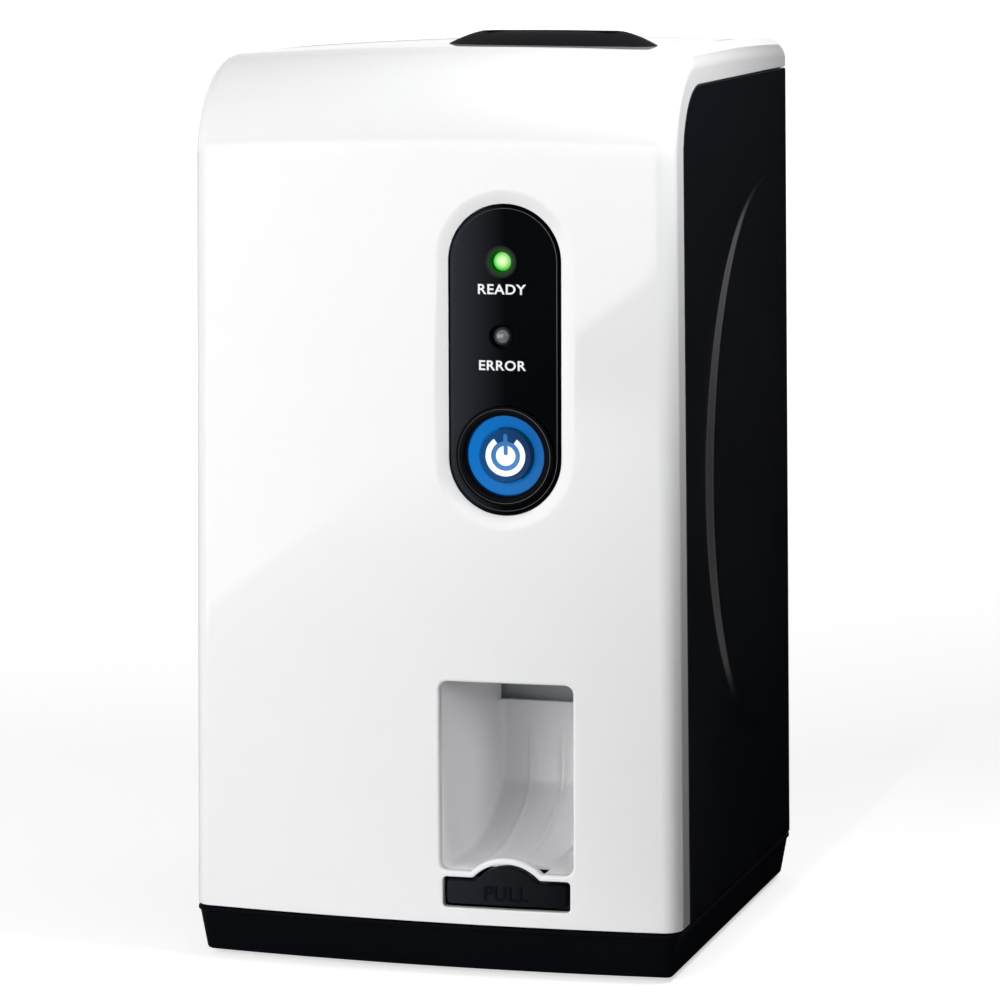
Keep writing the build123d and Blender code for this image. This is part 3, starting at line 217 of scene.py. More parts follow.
@dataclass(frozen=True)
class LitFinish(Finish):
    """A part that glows, with two tints along X; its fall-off from the left to the right is painted light."""

    glow_left: Color = (0.0, 0.3, 0.8)
    glow_right: Color = (0.0, 0.1, 0.6)
    left_x: float = 11.0
    right_x: float = 35.0
    strength: float = 1.0

    def glow(self, wiring: Wiring) -> Socket:
        """The glow's colour, which runs from one tint to the other along X: painted light, brighter on the left.
        """
        return wiring.run(self.glow_left, self.glow_right, (self.left_x, self.right_x))

    def adapt(self, wiring: Wiring, shader: Node) -> None:
        """Adds the glow."""
        wiring.feed(shader, {"Emission Color": self.glow(wiring), "Emission Strength": self.strength})


@dataclass(frozen=True)
class GlowFinish(LitFinish):
    """A round part that glows from its middle outwards: a lens lit from behind, or painted light spilled onto the
    well round one.
    """

    centre: Pair = (0.0, 0.0)
    reach: float = 3.0

    def glow(self, wiring: Wiring) -> Socket:
        """The glow's colour, which runs from one tint to the other with the distance from the axis.

        Args:
            wiring: The material's nodes.

        Returns:
            The colour's socket.
        """
        flat = wiring.add("VectorMath", "Vector", {0: wiring.place(), 1: (1.0, 0.0, 1.0)}, operation="MULTIPLY")
        axis = (self.centre[0] * MM, 0.0, self.centre[1] * MM)
        away = wiring.add("VectorMath", "Value", {0: flat, 1: axis}, operation="DISTANCE")
        share = wiring.add("MapRange", "Result", {"Value": away, "From Max": self.reach * MM})
        return wiring.mix(share, self.glow_left, self.glow_right)


WHITE_GLOSS = Finish("white_gloss_shell", (0.83, 0.832, 0.84), 0.05, Grain.POLISHED, 0.005, 0.006, 0.1,
                     coat=0.4, coat_roughness=0.02)
WHITE_SATIN = Finish("white_satin_pocket", (0.86, 0.86, 0.868), 0.35, Grain.SATIN, 0.04, 0.012)
HOOD_GREY = Finish("grey_inner_hood", (0.45, 0.46, 0.48), 0.55, Grain.MATT, 0.2, 0.05)
BLACK_GLOSS = Finish("black_gloss_panel", (0.003, 0.0036, 0.0058), 0.2, Grain.POLISHED, 0.01, 0.2, 0.12,
                     specular=0.17)
# Painted reflection: the pill's black is a grey sheen at the left that fades to deep black towards the right.
BLACK_FASCIA_PAINTED_SHEEN = PaintedLightRunFinish("black_fascia_painted_sheen", (0.024, 0.027, 0.033), 0.14, Grain.POLISHED, 0.01, 0.0,
                            0.12, specular=0.012, far_color=(0.0006, 0.0009, 0.0016), near_x=7.0, far_x=23.0)
# Painted highlight: thin grey lines round the pill and the bezel stand in for their edge highlights, paler to the
# right.
PAINTED_HIGHLIGHT_GREY = PaintedLightRunFinish("painted_highlight_grey", (0.02, 0.022, 0.025), 0.3, Grain.POLISHED, 0.01, 0.0, 0.1,
                        specular=0.1, far_color=(0.1, 0.105, 0.11), near_x=8.0, far_x=34.0)
BLACK_SATIN = Finish("black_satin_moulding", (0.003, 0.0035, 0.005), 0.35, Grain.SATIN, 0.06, 0.15,
                     specular=0.05)
COLLAR_BLACK = Finish("black_collar", (0.006, 0.006, 0.007), 0.6, Grain.SATIN, 0.06, 0.15, specular=0.02)
# Painted light and shade: the handle's black is lighter at the left and darker towards the right.
HANDLE_BLACK_PAINTED_SHADE = PaintedLightRunFinish("black_handle_painted_shade", (0.013, 0.015, 0.019), 0.45, Grain.SATIN, 0.08, 0.0, 0.12,
                            specular=0.04, far_color=(0.0022, 0.003, 0.004), near_x=8.0, far_x=42.0)
BLACK_GRAIN = Finish("black_grained_back", (0.016, 0.016, 0.018), 0.5, Grain.MATT, 0.5, 0.15)
BLACK_PLAIN = Finish("black_inner_moulding", (0.012, 0.012, 0.013), 0.6, Grain.MATT, 0.3, 0.2)
RUBBER = Finish("soft_rubber", (0.018, 0.018, 0.018), 0.8, Grain.MATT, 0.5, 0.2, sheen=0.1)
FELT = Finish("black_felt", (0.008, 0.008, 0.008), 0.95, Grain.MATT, 0.9, 0.3, sheen=0.4)
PRINT_WHITE = Finish("white_print", (0.82, 0.84, 0.86), 0.4, Grain.SATIN, 0.02, 0.01)
PRINT_BLUE = Finish("blue_print", (0.008, 0.17, 0.45), 0.35, Grain.SATIN, 0.02, 0.03)
BOARD = Finish("green_circuit_board", (0.015, 0.11, 0.045), 0.35, Grain.SPARK, 0.2, 0.25)
STEEL = Finish("plated_sheet_steel", (0.55, 0.56, 0.57), 0.32, Grain.SATIN, 0.1, 0.06, metallic=1.0)
GROUND = Finish("ground_shaft_steel", (0.62, 0.62, 0.63), 0.2, Grain.SPARK, 0.06, 0.05, metallic=1.0)
SCREW = Finish("black_zinc_screw", (0.09, 0.09, 0.095), 0.38, Grain.SPARK, 0.15, 0.15, metallic=1.0)
ALUMINIUM = Finish("milled_aluminium", (0.62, 0.63, 0.65), 0.35, Grain.SATIN, 0.12, 0.05, metallic=1.0)
BRONZE = Finish("sintered_bronze", (0.5, 0.33, 0.15), 0.4, Grain.SPARK, 0.25, 0.12, metallic=1.0)
MIRROR = Finish("silvered_mirror", (0.9, 0.9, 0.92), 0.03, Grain.POLISHED, 0.005, 0.01, metallic=1.0)
ACRYLIC = Finish("clear_light_guide", (0.9, 0.95, 0.96), 0.05, Grain.POLISHED, 0.01, 0.01,
                 transmission=0.9, ior=1.49)
DARK_LENS = Finish("unlit_lens", (0.05, 0.055, 0.06), 0.06, Grain.POLISHED, 0.01, 0.1, specular=1.0,
                   coat=1.0, coat_roughness=0.02)
GREEN_LENS = GlowFinish("lit_green_lens", (0.02, 0.25, 0.02), 0.12, Grain.POLISHED, 0.01, 0.1,
                        glow_left=(0.9, 1.0, 0.6), glow_right=(0.02, 0.42, 0.02), strength=1.0,
                        centre=(22.3, 208.6), reach=2.7)
# Painted light: a green glow painted on the well round the green lens, fading outwards, for the light that spills
# from it.
GREEN_PAINTED_SPILL = GlowFinish("green_painted_spill", (0.004, 0.006, 0.004), 0.3, Grain.SATIN, 0.02, 0.1, specular=0.1,
                        glow_left=(0.005, 0.2, 0.005), glow_right=(0.0, 0.0, 0.0), strength=1.0,
                        centre=(22.0, 208.3), reach=4.3)
BEZEL_BLACK = Finish("black_gloss_bezel", (0.0015, 0.0018, 0.003), 0.1, Grain.POLISHED, 0.005, 0.1, 0.1,
                     specular=0.03)
BASE_BLACK = Finish("black_satin_base", (0.0028, 0.0032, 0.0045), 0.4, Grain.SATIN, 0.05, 0.15,
                    specular=0.01)
# Painted light: the white sign's glow is brighter on the left than on the right.
SIGN_WHITE = LitFinish("lit_white_sign", (0.7, 0.75, 0.8), 0.4, Grain.SATIN, 0.02, 0.01,
                       glow_left=(0.35, 0.37, 0.38), glow_right=(0.25, 0.3, 0.33))
# Painted light: the cap glows, strongly on the left and faintly on the right, though it is no lamp.
CAP_BLUE_PAINTED_GLOW = LitFinish("blue_cap_painted_glow", (0.0, 0.012, 0.04), 0.3, Grain.SATIN, 0.02, 0.1, specular=0.1,
                     glow_left=(0.0, 0.06, 0.21), glow_right=(0.002, 0.012, 0.04), left_x=15.0, right_x=31.0)
# The ring's glow is its own light; its fall-off from left to right is painted light.
BLUE_RING = LitFinish("lit_blue_ring", (0.0, 0.02, 0.08), 0.3, Grain.POLISHED, 0.01, 0.05, specular=0.1,
                      glow_left=(0.0, 0.15, 0.5), glow_right=(0.003, 0.1, 0.31))


@dataclass(frozen=True)
class HousingForm:
    """The housing's outer form as a distance field: bowed front, crowned top, leaning sides."""

    seam_z: float = 15.4
    seam_half_width: float = 74.0
    depth: float = 155.0
    bow: float = 4.27
    draft: float = 0.636
    crown_z: float = 268.25
    crown_x: float = 14.8
    crown_radius: float = 1175.0
    dome_radius: float = 3000.0
    dome_y: float = -24.0
    top_radius: float = 29.0
    edge_radius: float = 5.0
    rear_radius: float = 4.5

    @property
    def front_y(self) -> float:
        """Where the front's middle lies."""
        return -self.depth / 2

    @property
    def bow_radius(self) -> float:
        """Radius of the bowed front in plan."""
        return (self.seam_half_width**2 + self.bow**2) / (2 * self.bow)

    @property
    def corner_y(self) -> float:
        """Where the bowed front meets the sides."""
        return self.front_y + self.bow

    def half_width(self, z: Array) -> Array:
        """Half the width at height z: the seam's, less the lean."""
        return self.seam_half_width - (z - self.seam_z) * math.tan(math.radians(self.draft))

    def front_at(self, x: Array, inset: float = 0.0) -> Array:
        """The Y of the bowed front at x: a circle's arc, moved back by inset."""
        radius = self.bow_radius - inset
        return self.front_y + self.bow_radius - np.sqrt(radius**2 - np.asarray(x) ** 2)

    def behind_front(self, uv: Array, inset: float) -> Array:
        """Points at rows of X and Z on the bowed front, moved back by inset."""
        return np.stack([uv[:, 0], self.front_at(uv[:, 0], inset), uv[:, 1]], axis=1)

    @staticmethod
    def rounded(a: Array, b: Array, radius: float) -> Array:
        """The larger of two distances, with a true arc of that radius where they cross.

        Args:
            a: First distance.
            b: Second distance.
            radius: The arc's radius.

        Returns:
            The distance to the rounded shape.
        """
        u, v = a + radius, b + radius
        outside = np.hypot(np.maximum(u, 0), np.maximum(v, 0))
        return outside + np.minimum(np.maximum(u, v), 0) - radius

    def field(self, p: Array) -> Array:
        """Signed distance of points from the outer form; it is negative inside.

        Args:
            p: Points, one row each.

        Returns:
            One distance a point.
        """
        x, y, z = p.T
        centre_y = self.front_y + self.bow_radius
        front = np.hypot(x, y - centre_y) - self.bow_radius
        base = self.crown_z - self.dome_radius
        lifted = np.hypot(y - self.dome_y, z - base) + base
        top = np.hypot(x - self.crown_x, lifted - self.crown_z + self.crown_radius) - self.crown_radius
        side = (np.abs(x) - self.half_width(z)) * math.cos(math.radians(self.draft))
        body = self.rounded(front, top, self.top_radius)
        body = self.rounded(body, side, self.edge_radius)
        return self.rounded(body, y - self.depth / 2, self.rear_radius)

    def settle(self, start: Array, way: Array, inset: float = 0.0, rounds: int = 9) -> Array:
        """Slides points along their directions onto the surface, by Newton steps.

        Args:
            start: Points near the surface.
            way: One unit direction a point.
            inset: Depth of the wanted surface below the outer one.
            rounds: How many steps.

        Returns:
            The points on the surface.
        """
        t = np.zeros(len(start))
        step = 0.01
        for _ in range(rounds):
            q = start + t[:, None] * way
            slope = (self.field(q + step * way) - self.field(q - step * way)) / (2 * step)
            t -= (self.field(q) + inset) / np.maximum(slope, 0.3)
        return start + t[:, None] * way


FORM = HousingForm()


def normals_of(point: PointMap, uv: Array, step: float = 0.02) -> Array:
    """Unit normals of a surface, from the cross product of its two slopes.

    Args:
        point: The surface as a function of two parameters.
        uv: Parameters, one row a point.
        step: Half the distance over which the slopes are taken.

    Returns:
        One unit normal a point.
    """
    du, dv = np.array([step, 0.0]), np.array([0.0, step])
    across = point(uv + du) - point(uv - du)
    along = point(uv + dv) - point(uv - dv)
    n = np.cross(across, along)
    return n / np.maximum(np.linalg.norm(n, axis=1, keepdims=True), 1e-12)


class Skin:
    """Collects points and faces as arrays and makes one mesh piece of them."""

    def __init__(self) -> None:
        """Starts empty."""
        self.points: list[Array] = []
        self.faces: list[Array] = []
        self.corner_normals: list[Array] = []
        self.count = 0

    def add_points(self, points: Array) -> int:
        """Adds points.

        Args:
            points: One row a point.

        Returns:
            The index of the first.
        """
        first = self.count
        self.points.append(points.reshape(-1, 3))
        self.count += len(self.points[-1])
        return first

    def add_faces(self, faces: Array, normals: Optional[Array] = None) -> None:
        """Adds faces of equal corner counts.

        Args:
            faces: Point indices, one row a face.
            normals: Exact normals at the corners; left out, the mesh's own are used.
        """
        faces = np.asarray(faces)
        self.faces.append(faces)
        if normals is None:
            normals = np.zeros((*faces.shape, 3))
        self.corner_normals.append(normals.reshape(-1, 3))

    def add_grid(self, grid: Array, wrap: bool = False, closed: bool = False, flip: bool = False) -> Array:
        """Adds a grid of points and the four-cornered faces between them.

        Args:
            grid: Rows by columns by 3.
            wrap: Whether the last column joins the first.
            closed: Whether the last row joins the first.
            flip: Whether the faces turn the other way.

        Returns:
            The point indices, rows by columns.
        """
        rows, columns = grid.shape[:2]
        index = self.add_points(grid) + np.arange(rows * columns).reshape(rows, columns)
        self.add_strip(np.concatenate([index, index[:1]]) if closed else index, wrap, flip)
        return index

    def add_strip(self, index: Array, wrap: bool = False, flip: bool = False) -> None:
        """Adds the four-cornered faces between rows of points that are already there.

        Args:
            index: Point indices, rows by columns.
            wrap: Whether the last column joins the first.
            flip: Whether the faces turn the other way.
        """
        after = np.roll(index, -1, axis=1)
        if not wrap:
            index, after = index[:, :-1], after[:, :-1]
        quads = np.stack([index[:-1], after[:-1], after[1:], index[1:]], axis=-1).reshape(-1, 4)
        self.add_faces(quads[:, ::-1] if flip else quads)

    def cap(self, loop: Array, flip: bool = False) -> None:
        """Closes a flat loop of point indices with one face; flip turns it the other way."""
        self.add_faces((loop[::-1] if flip else loop)[None, :])

    def mirrored(self) -> "Skin":
        """The same skin with left and right exchanged.

        Returns:
            A new skin whose faces still point outwards.
        """
        other = Skin()
        flip = np.array([-1.0, 1.0, 1.0])
        for points in self.points:
            other.add_points(points * flip)
        for faces, normals in zip(self.faces, self.corner_normals):
            size = faces.shape[1]
            turned = (normals * flip).reshape(-1, size, 3)[:, ::-1]
            other.add_faces(faces[:, ::-1], turned)
        return other

    def build(self, name: str, finish: Finish, body: Body, replaces: Sequence[str] = (),
              slot: str = "", sharp: float = 32.0) -> bpy.types.Object:
        """Makes the Blender piece and hands it to the frame.

        Args:
            name: The piece's name.
            finish: Its surface finish.
            body: The CAD body it rides on.
            replaces: CAD nodes that it stands for.
            slot: Not used.
            sharp: Angle in degrees from which an edge stays sharp.

        Returns:
            The new object.
        """
        mesh = bpy.data.meshes.new(name)
        faces = [face for group in self.faces for face in group.tolist()]
        mesh.from_pydata((np.concatenate(self.points) * MM).tolist(), [], faces)
        mesh.shade_smooth()
        mesh.set_sharp_from_angle(angle=math.radians(sharp))
        normals = np.concatenate(self.corner_normals)
        if np.any(normals):
            mesh.normals_split_custom_set(normals.tolist())
        mesh.update()
        return dress_piece(mesh, name, finish, body, replaces)


def dress_piece(mesh: bpy.types.Mesh, name: str, finish: Finish, body: Body,
                replaces: Sequence[str] = ()) -> bpy.types.Object:
    """Makes an object of a finished mesh, gives it its finish and tells the frame about it.

    Args:
        mesh: The mesh, in metres and in place.
        name: The piece's name.
        finish: Its surface finish.
        body: The CAD body it rides on.
        replaces: CAD nodes that it stands for.

    Returns:
        The new object.
    """
    piece = bpy.data.objects.new(name, mesh)
    bpy.context.scene.collection.objects.link(piece)
    mesh.materials.append(finish.material())
    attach(piece, body.value)
    if replaces:
        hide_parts(*replaces)
    log.info("%s: %d faces, %s", name, len(mesh.polygons), finish.name)
    return piece


def inside(points: Array, loop: Array) -> Array:
    """Which points lie inside a closed loop, by counting the edges to their right.

    Args:
        points: One row a point.
        loop: The loop's corners in order.

    Returns:
        True for each point inside.
    """
    a, b = loop, np.roll(loop, -1, axis=0)
    px, py = points[:, :1], points[:, 1:]
    spans = (a[:, 1] > py) != (b[:, 1] > py)
    rise = np.where(b[:, 1] == a[:, 1], 1e-9, b[:, 1] - a[:, 1])
    crossing = a[:, 0] + (py - a[:, 1]) / rise * (b[:, 0] - a[:, 0])
    return (np.sum(spans & (px < crossing), axis=1) % 2).astype(bool)


def clear_of(points: Array, loop: Array, gap: float) -> Array:
    """Which points lie further than gap from every edge of a closed loop.

    Args:
        points: One row a point.
        loop: The loop's corners in order.
        gap: The least distance.

    Returns:
        True for each point that is clear.
    """
    clear = np.ones(len(points), bool)
    near = np.all((points > loop.min(axis=0) - gap) & (points < loop.max(axis=0) + gap), axis=1)
    a = loop[None]
    d = np.roll(loop, -1, axis=0)[None] - a
    for part in np.array_split(np.flatnonzero(near), max(int(near.sum()) // 1500, 1)):
        to = points[part][:, None] - a
        share = np.clip(np.sum(to * d, axis=2) / np.maximum(np.sum(d * d, axis=2), 1e-12), 0, 1)
        away = np.linalg.norm(to - share[..., None] * d, axis=2)
        clear[part] = away.min(axis=1, initial=np.inf) > gap
    return clear


@dataclass
class Sheet:
    """A wall with openings: a surface on a trimmed patch of two parameters, with rounded rims."""

    point: PointMap
    outline: Array
    holes: list[Array]
    fill: Array
    thickness: float
    rims: Sequence[float] = (0.4,)
    clearance: float = 0.6

    def skin(self) -> Skin:
        """Works out the wall.

        The patch is cut into triangles between its loops and the points that fill it. Each
        loop's rim is a quarter circle carried along the loop, then a wall to the back.

        Returns:
            The skin, which is closed when it has a back.
        """
        loops = [self.outline, *(hole[::-1] for hole in self.holes)]
        fill = self.fill[inside(self.fill, self.outline)]
        for loop in loops:
            fill = fill[clear_of(fill, loop, self.clearance)]
        for hole in self.holes:
            fill = fill[~inside(fill, hole)]
        uv = np.concatenate([*loops, fill])
        edges, first, rings = [], 0, []
        for loop in loops:
            ring = first + np.arange(len(loop))
            rings.append(ring)
            edges.append(np.stack([ring, np.roll(ring, -1)], axis=1))
            first += len(loop)
        cut = geometry.delaunay_2d_cdt(uv.tolist(), np.concatenate(edges).tolist(), [], 0, 1e-6)
        triangles = np.array(cut[2])
        middle = uv[triangles].mean(axis=1)
        keep = inside(middle, self.outline)
        for hole in self.holes:
            keep &= ~inside(middle, hole)
        triangles = triangles[keep]
        outer = self.point(uv)
        normal = normals_of(self.point, uv)
        skin = Skin()
        skin.add_points(outer)
        skin.add_faces(triangles, normal[triangles])
        inner = skin.add_points(outer - self.thickness * normal)
        skin.add_faces(inner + triangles[:, ::-1])
        for number, ring in enumerate(rings):
            rim = self.rims[min(number, len(self.rims) - 1)]
            self._rim(skin, ring, inner + ring, outer[ring], normal[ring], rim)
        return skin

    def _rim(self, skin: Skin, ring: Array, back: Array, edge: Array, normal: Array,
             rim: float) -> None:
        """Adds one loop's rim.

        Args:
            skin: Where it goes.
            ring: The loop's points on the outer surface.
            back: The loop's points on the inner surface.
            edge: Their places on the outer surface.
            normal: Their normals.
            rim: The quarter circle's radius.
        """
        along = np.roll(edge, -1, axis=0) - np.roll(edge, 1, axis=0)
        out = np.cross(along, normal)
        out /= np.maximum(np.linalg.norm(out, axis=1, keepdims=True), 1e-12)
        places = [edge + rim * (math.sin(angle) * out - (1 - math.cos(angle)) * normal)
                  for angle in np.radians(RIM_STEPS)]
        places.append(edge + rim * out - self.thickness * normal)
        rows = [skin.add_points(place) + np.arange(len(ring)) for place in places]
        skin.add_strip(np.array([ring, *rows, back]), wrap=True, flip=True)


def pairs(u: Array | float, v: Array | float) -> Array:
    """Rows of two numbers, one from each array; a single number stands in every row."""
    return np.column_stack(np.broadcast_arrays(u, v))


def arc(centre: Pair, radius: float, start: float, end: float, count: int) -> Array:
    """Count points along a circle's arc, from one angle to another in degrees, one row a point."""
    angle = np.radians(np.linspace(start, end, count))
    return pairs(centre[0] + radius * np.cos(angle), centre[1] + radius * np.sin(angle))


def circle(centre: Pair, radius: float, count: int = 72) -> Array:
    """A closed circle of count points, anticlockwise."""
    return arc(centre, radius, 0.0, 360.0, count + 1)[:-1]


def spaced(points: Array, gap: float) -> Array:
    """A closed loop with extra points on its long straight runs.

    Args:
        points: The loop's corners in order.
        gap: The longest run that may stay.

    Returns:
        The loop with the runs divided.
    """
    after = np.roll(points, -1, axis=0)
    pieces = []
    for a, b in zip(points, after):
        parts = max(int(np.linalg.norm(b - a) / gap), 1)
        share = np.arange(parts)[:, None] / parts
        pieces.append(a + share * (b - a))
    return np.concatenate(pieces)


def corners(x0: float, x1: float, y0: float, y1: float, radius: float, count: int = 7) -> list[Array]:
    """The rounded corners of a rectangle, anticlockwise from the upper right one.

    Args:
        x0: Left.
        x1: Right.
        y0: Bottom.
        y1: Top.
        radius: Corner radius.
        count: Points a corner.

    Returns:
        Four arcs.
    """
    left, right, low, high = x0 + radius, x1 - radius, y0 + radius, y1 - radius
    middles = ((right, high), (left, high), (left, low), (right, low))
    return [arc(middle, radius, 90 * turn, 90 * turn + 90, count) for turn, middle in enumerate(middles)]


def rounded_box(x0: float, x1: float, y0: float, y1: float, radius: float, count: int = 9) -> Array:
    """A rectangle with rounded corners, anticlockwise from the middle of its right side."""
    return np.concatenate([[[x1, (y0 + y1) / 2]], *corners(x0, x1, y0, y1, radius, count)])


def resampled(loop: Array, count: int) -> Array:
    """A closed loop with its points spread evenly along its length.

    Args:
        loop: The loop's corners in order.
        count: How many points to make.

    Returns:
        One row a point; the first stays where it was.
    """
    closed = np.concatenate([loop, loop[:1]])
    run = np.concatenate([[0.0], np.cumsum(np.linalg.norm(np.diff(closed, axis=0), axis=1))])
    at = np.linspace(0, run[-1], count, endpoint=False)
    return np.stack([np.interp(at, run, closed[:, k]) for k in range(loop.shape[1])], axis=1)


def lattice(columns: Array, rows: Array) -> Array:
    """Every crossing of the given columns and rows, one row a crossing."""
    u, v = np.meshgrid(columns, rows)
    return np.stack([u.ravel(), v.ravel()], axis=1)


def turned_y(profile: Array, x: float, z: float, angle: Array) -> Array:
    """Pairs of radius and y turned to each angle round an axis along Y: a row a pair, a column an angle."""
    radius, y = profile[:, :1], profile[:, 1:]
    return np.stack([x + radius * np.cos(angle), y + 0 * angle, z + radius * np.sin(angle)], axis=-1)


def lathe_y(profile: Array, x: float, z: float, count: int = 96, closed: bool = True) -> Skin:
    """A profile of (radius, y) pairs turned right round an axis along Y.

    Args:
        profile: The pairs in order; seen with y to the right, the solid lies on the left.
        x: The axis's place across.
        z: The axis's height.
        count: Steps round the axis.
        closed: Whether the last pair joins the first.

    Returns:
        The skin.
    """
    skin = Skin()
    angle = np.linspace(0, 2 * math.pi, count, endpoint=False)
    index = skin.add_grid(turned_y(profile, x, z, angle), wrap=True, closed=closed)
    if not closed:
        skin.cap(index[0], flip=True)
        skin.cap(index[-1])
    return skin


@dataclass(frozen=True)
class FrontLayout:
    """Where the openings of the front lie, as seen from the front: X across and Z up."""

    pill_x: float = 23.0
    pill_low: float = 135.6
    pill_width: float = 32.9
    pill_height: float = 89.2
    window_x: float = 23.2
    window_width: float = 39.6
    window_low: float = 31.15
    window_high: float = 86.8
    window_radius: float = 2.5
    pull_width: float = 37.9
    pull_low: float = 20.3
    pull_high: float = 29.3
    pull_radius: float = 1.2
    arch_width: float = 19.8
    arch_rise: float = 4.4
    strip: float = 1.8
    button_z: float = 152.7

    def pill(self, grow: float = 0.0, count: int = 40) -> Array:
        """The control panel's pill shape.

        Args:
            grow: How far outside its real edge.
            count: Points a half circle.

        Returns:
            The loop.
        """
        r = self.pill_width / 2
        high, low = self.pill_low + self.pill_height - r, self.pill_low + r
        ends = [arc((self.pill_x, z), r + grow, start, start + 180, count) for z, start in ((high, 0), (low, 180))]
        return spaced(np.concatenate(ends), 2.0)

    def pill_distance(self, x: Array, z: Array) -> Array:
        """Distance from the pill's edge, measured outwards.

        Args:
            x: Places across.
            z: Heights.

        Returns:
            One distance a place.
        """
        r = self.pill_width / 2
        middle = self.pill_low + self.pill_height / 2
        half = self.pill_height / 2 - r
        return np.hypot(x - self.pill_x, np.maximum(np.abs(z - middle) - half, 0)) - r

    def arch(self, x: Array, grow: float) -> Array:
        """Height of the circle that makes the pull's arch.

        Args:
            x: Places across.
            grow: How far outside the real edge.

        Returns:
            The heights, or a very low value beside the circle.
        """
        radius = (self.arch_width**2 / 4 + self.arch_rise**2) / (2 * self.arch_rise)
        middle = self.pull_high + self.arch_rise - radius
        inner = (radius + grow) ** 2 - (x - self.window_x) ** 2
        return np.where(inner > 0, middle + np.sqrt(np.maximum(inner, 0)), -1e3)

    def sides(self, width: float, grow: float) -> Pair:
        """The left and right ends of an opening over the window's middle, moved out by grow."""
        return self.window_x - width / 2 - grow, self.window_x + width / 2 + grow

    def pull(self, grow: float = 0.0) -> Array:
        """The pull opening: a bar with a low arch on its top.

        Args:
            grow: How far outside its real edge.

        Returns:
            The loop.
        """
        r = self.pull_radius + max(grow, -0.8)
        x0, x1 = self.sides(self.pull_width, grow)
        low, high = self.pull_low - grow, self.pull_high + grow
        across = np.linspace(x1 - r, x0 + r, 61)
        top = pairs(across, np.maximum(high, self.arch(across, grow)))
        bends = corners(x0, x1, low, high, r)
        return spaced(np.concatenate([bends[0][:-1], top, bends[1][1:], *bends[2:]]), 1.5)

    def window(self, grow: float = 0.0) -> Array:
        """The pickup window, whose sill rises over the pull's arch.

        Args:
            grow: How far outside its real edge.

        Returns:
            The loop.
        """
        r = self.window_radius + grow
        x0, x1 = self.sides(self.window_width, grow)
        low, high = self.window_low - grow, self.window_high + grow
        across = np.linspace(x0 + r, x1 - r, 61)
        sill = pairs(across, np.maximum(low, self.arch(across, self.strip - grow)))
        bends = corners(x0, x1, low, high, r)
        return spaced(np.concatenate([*bends[:2], bends[2][:-1], sill, bends[3][1:]]), 2.0)


LAYOUT = FrontLayout()


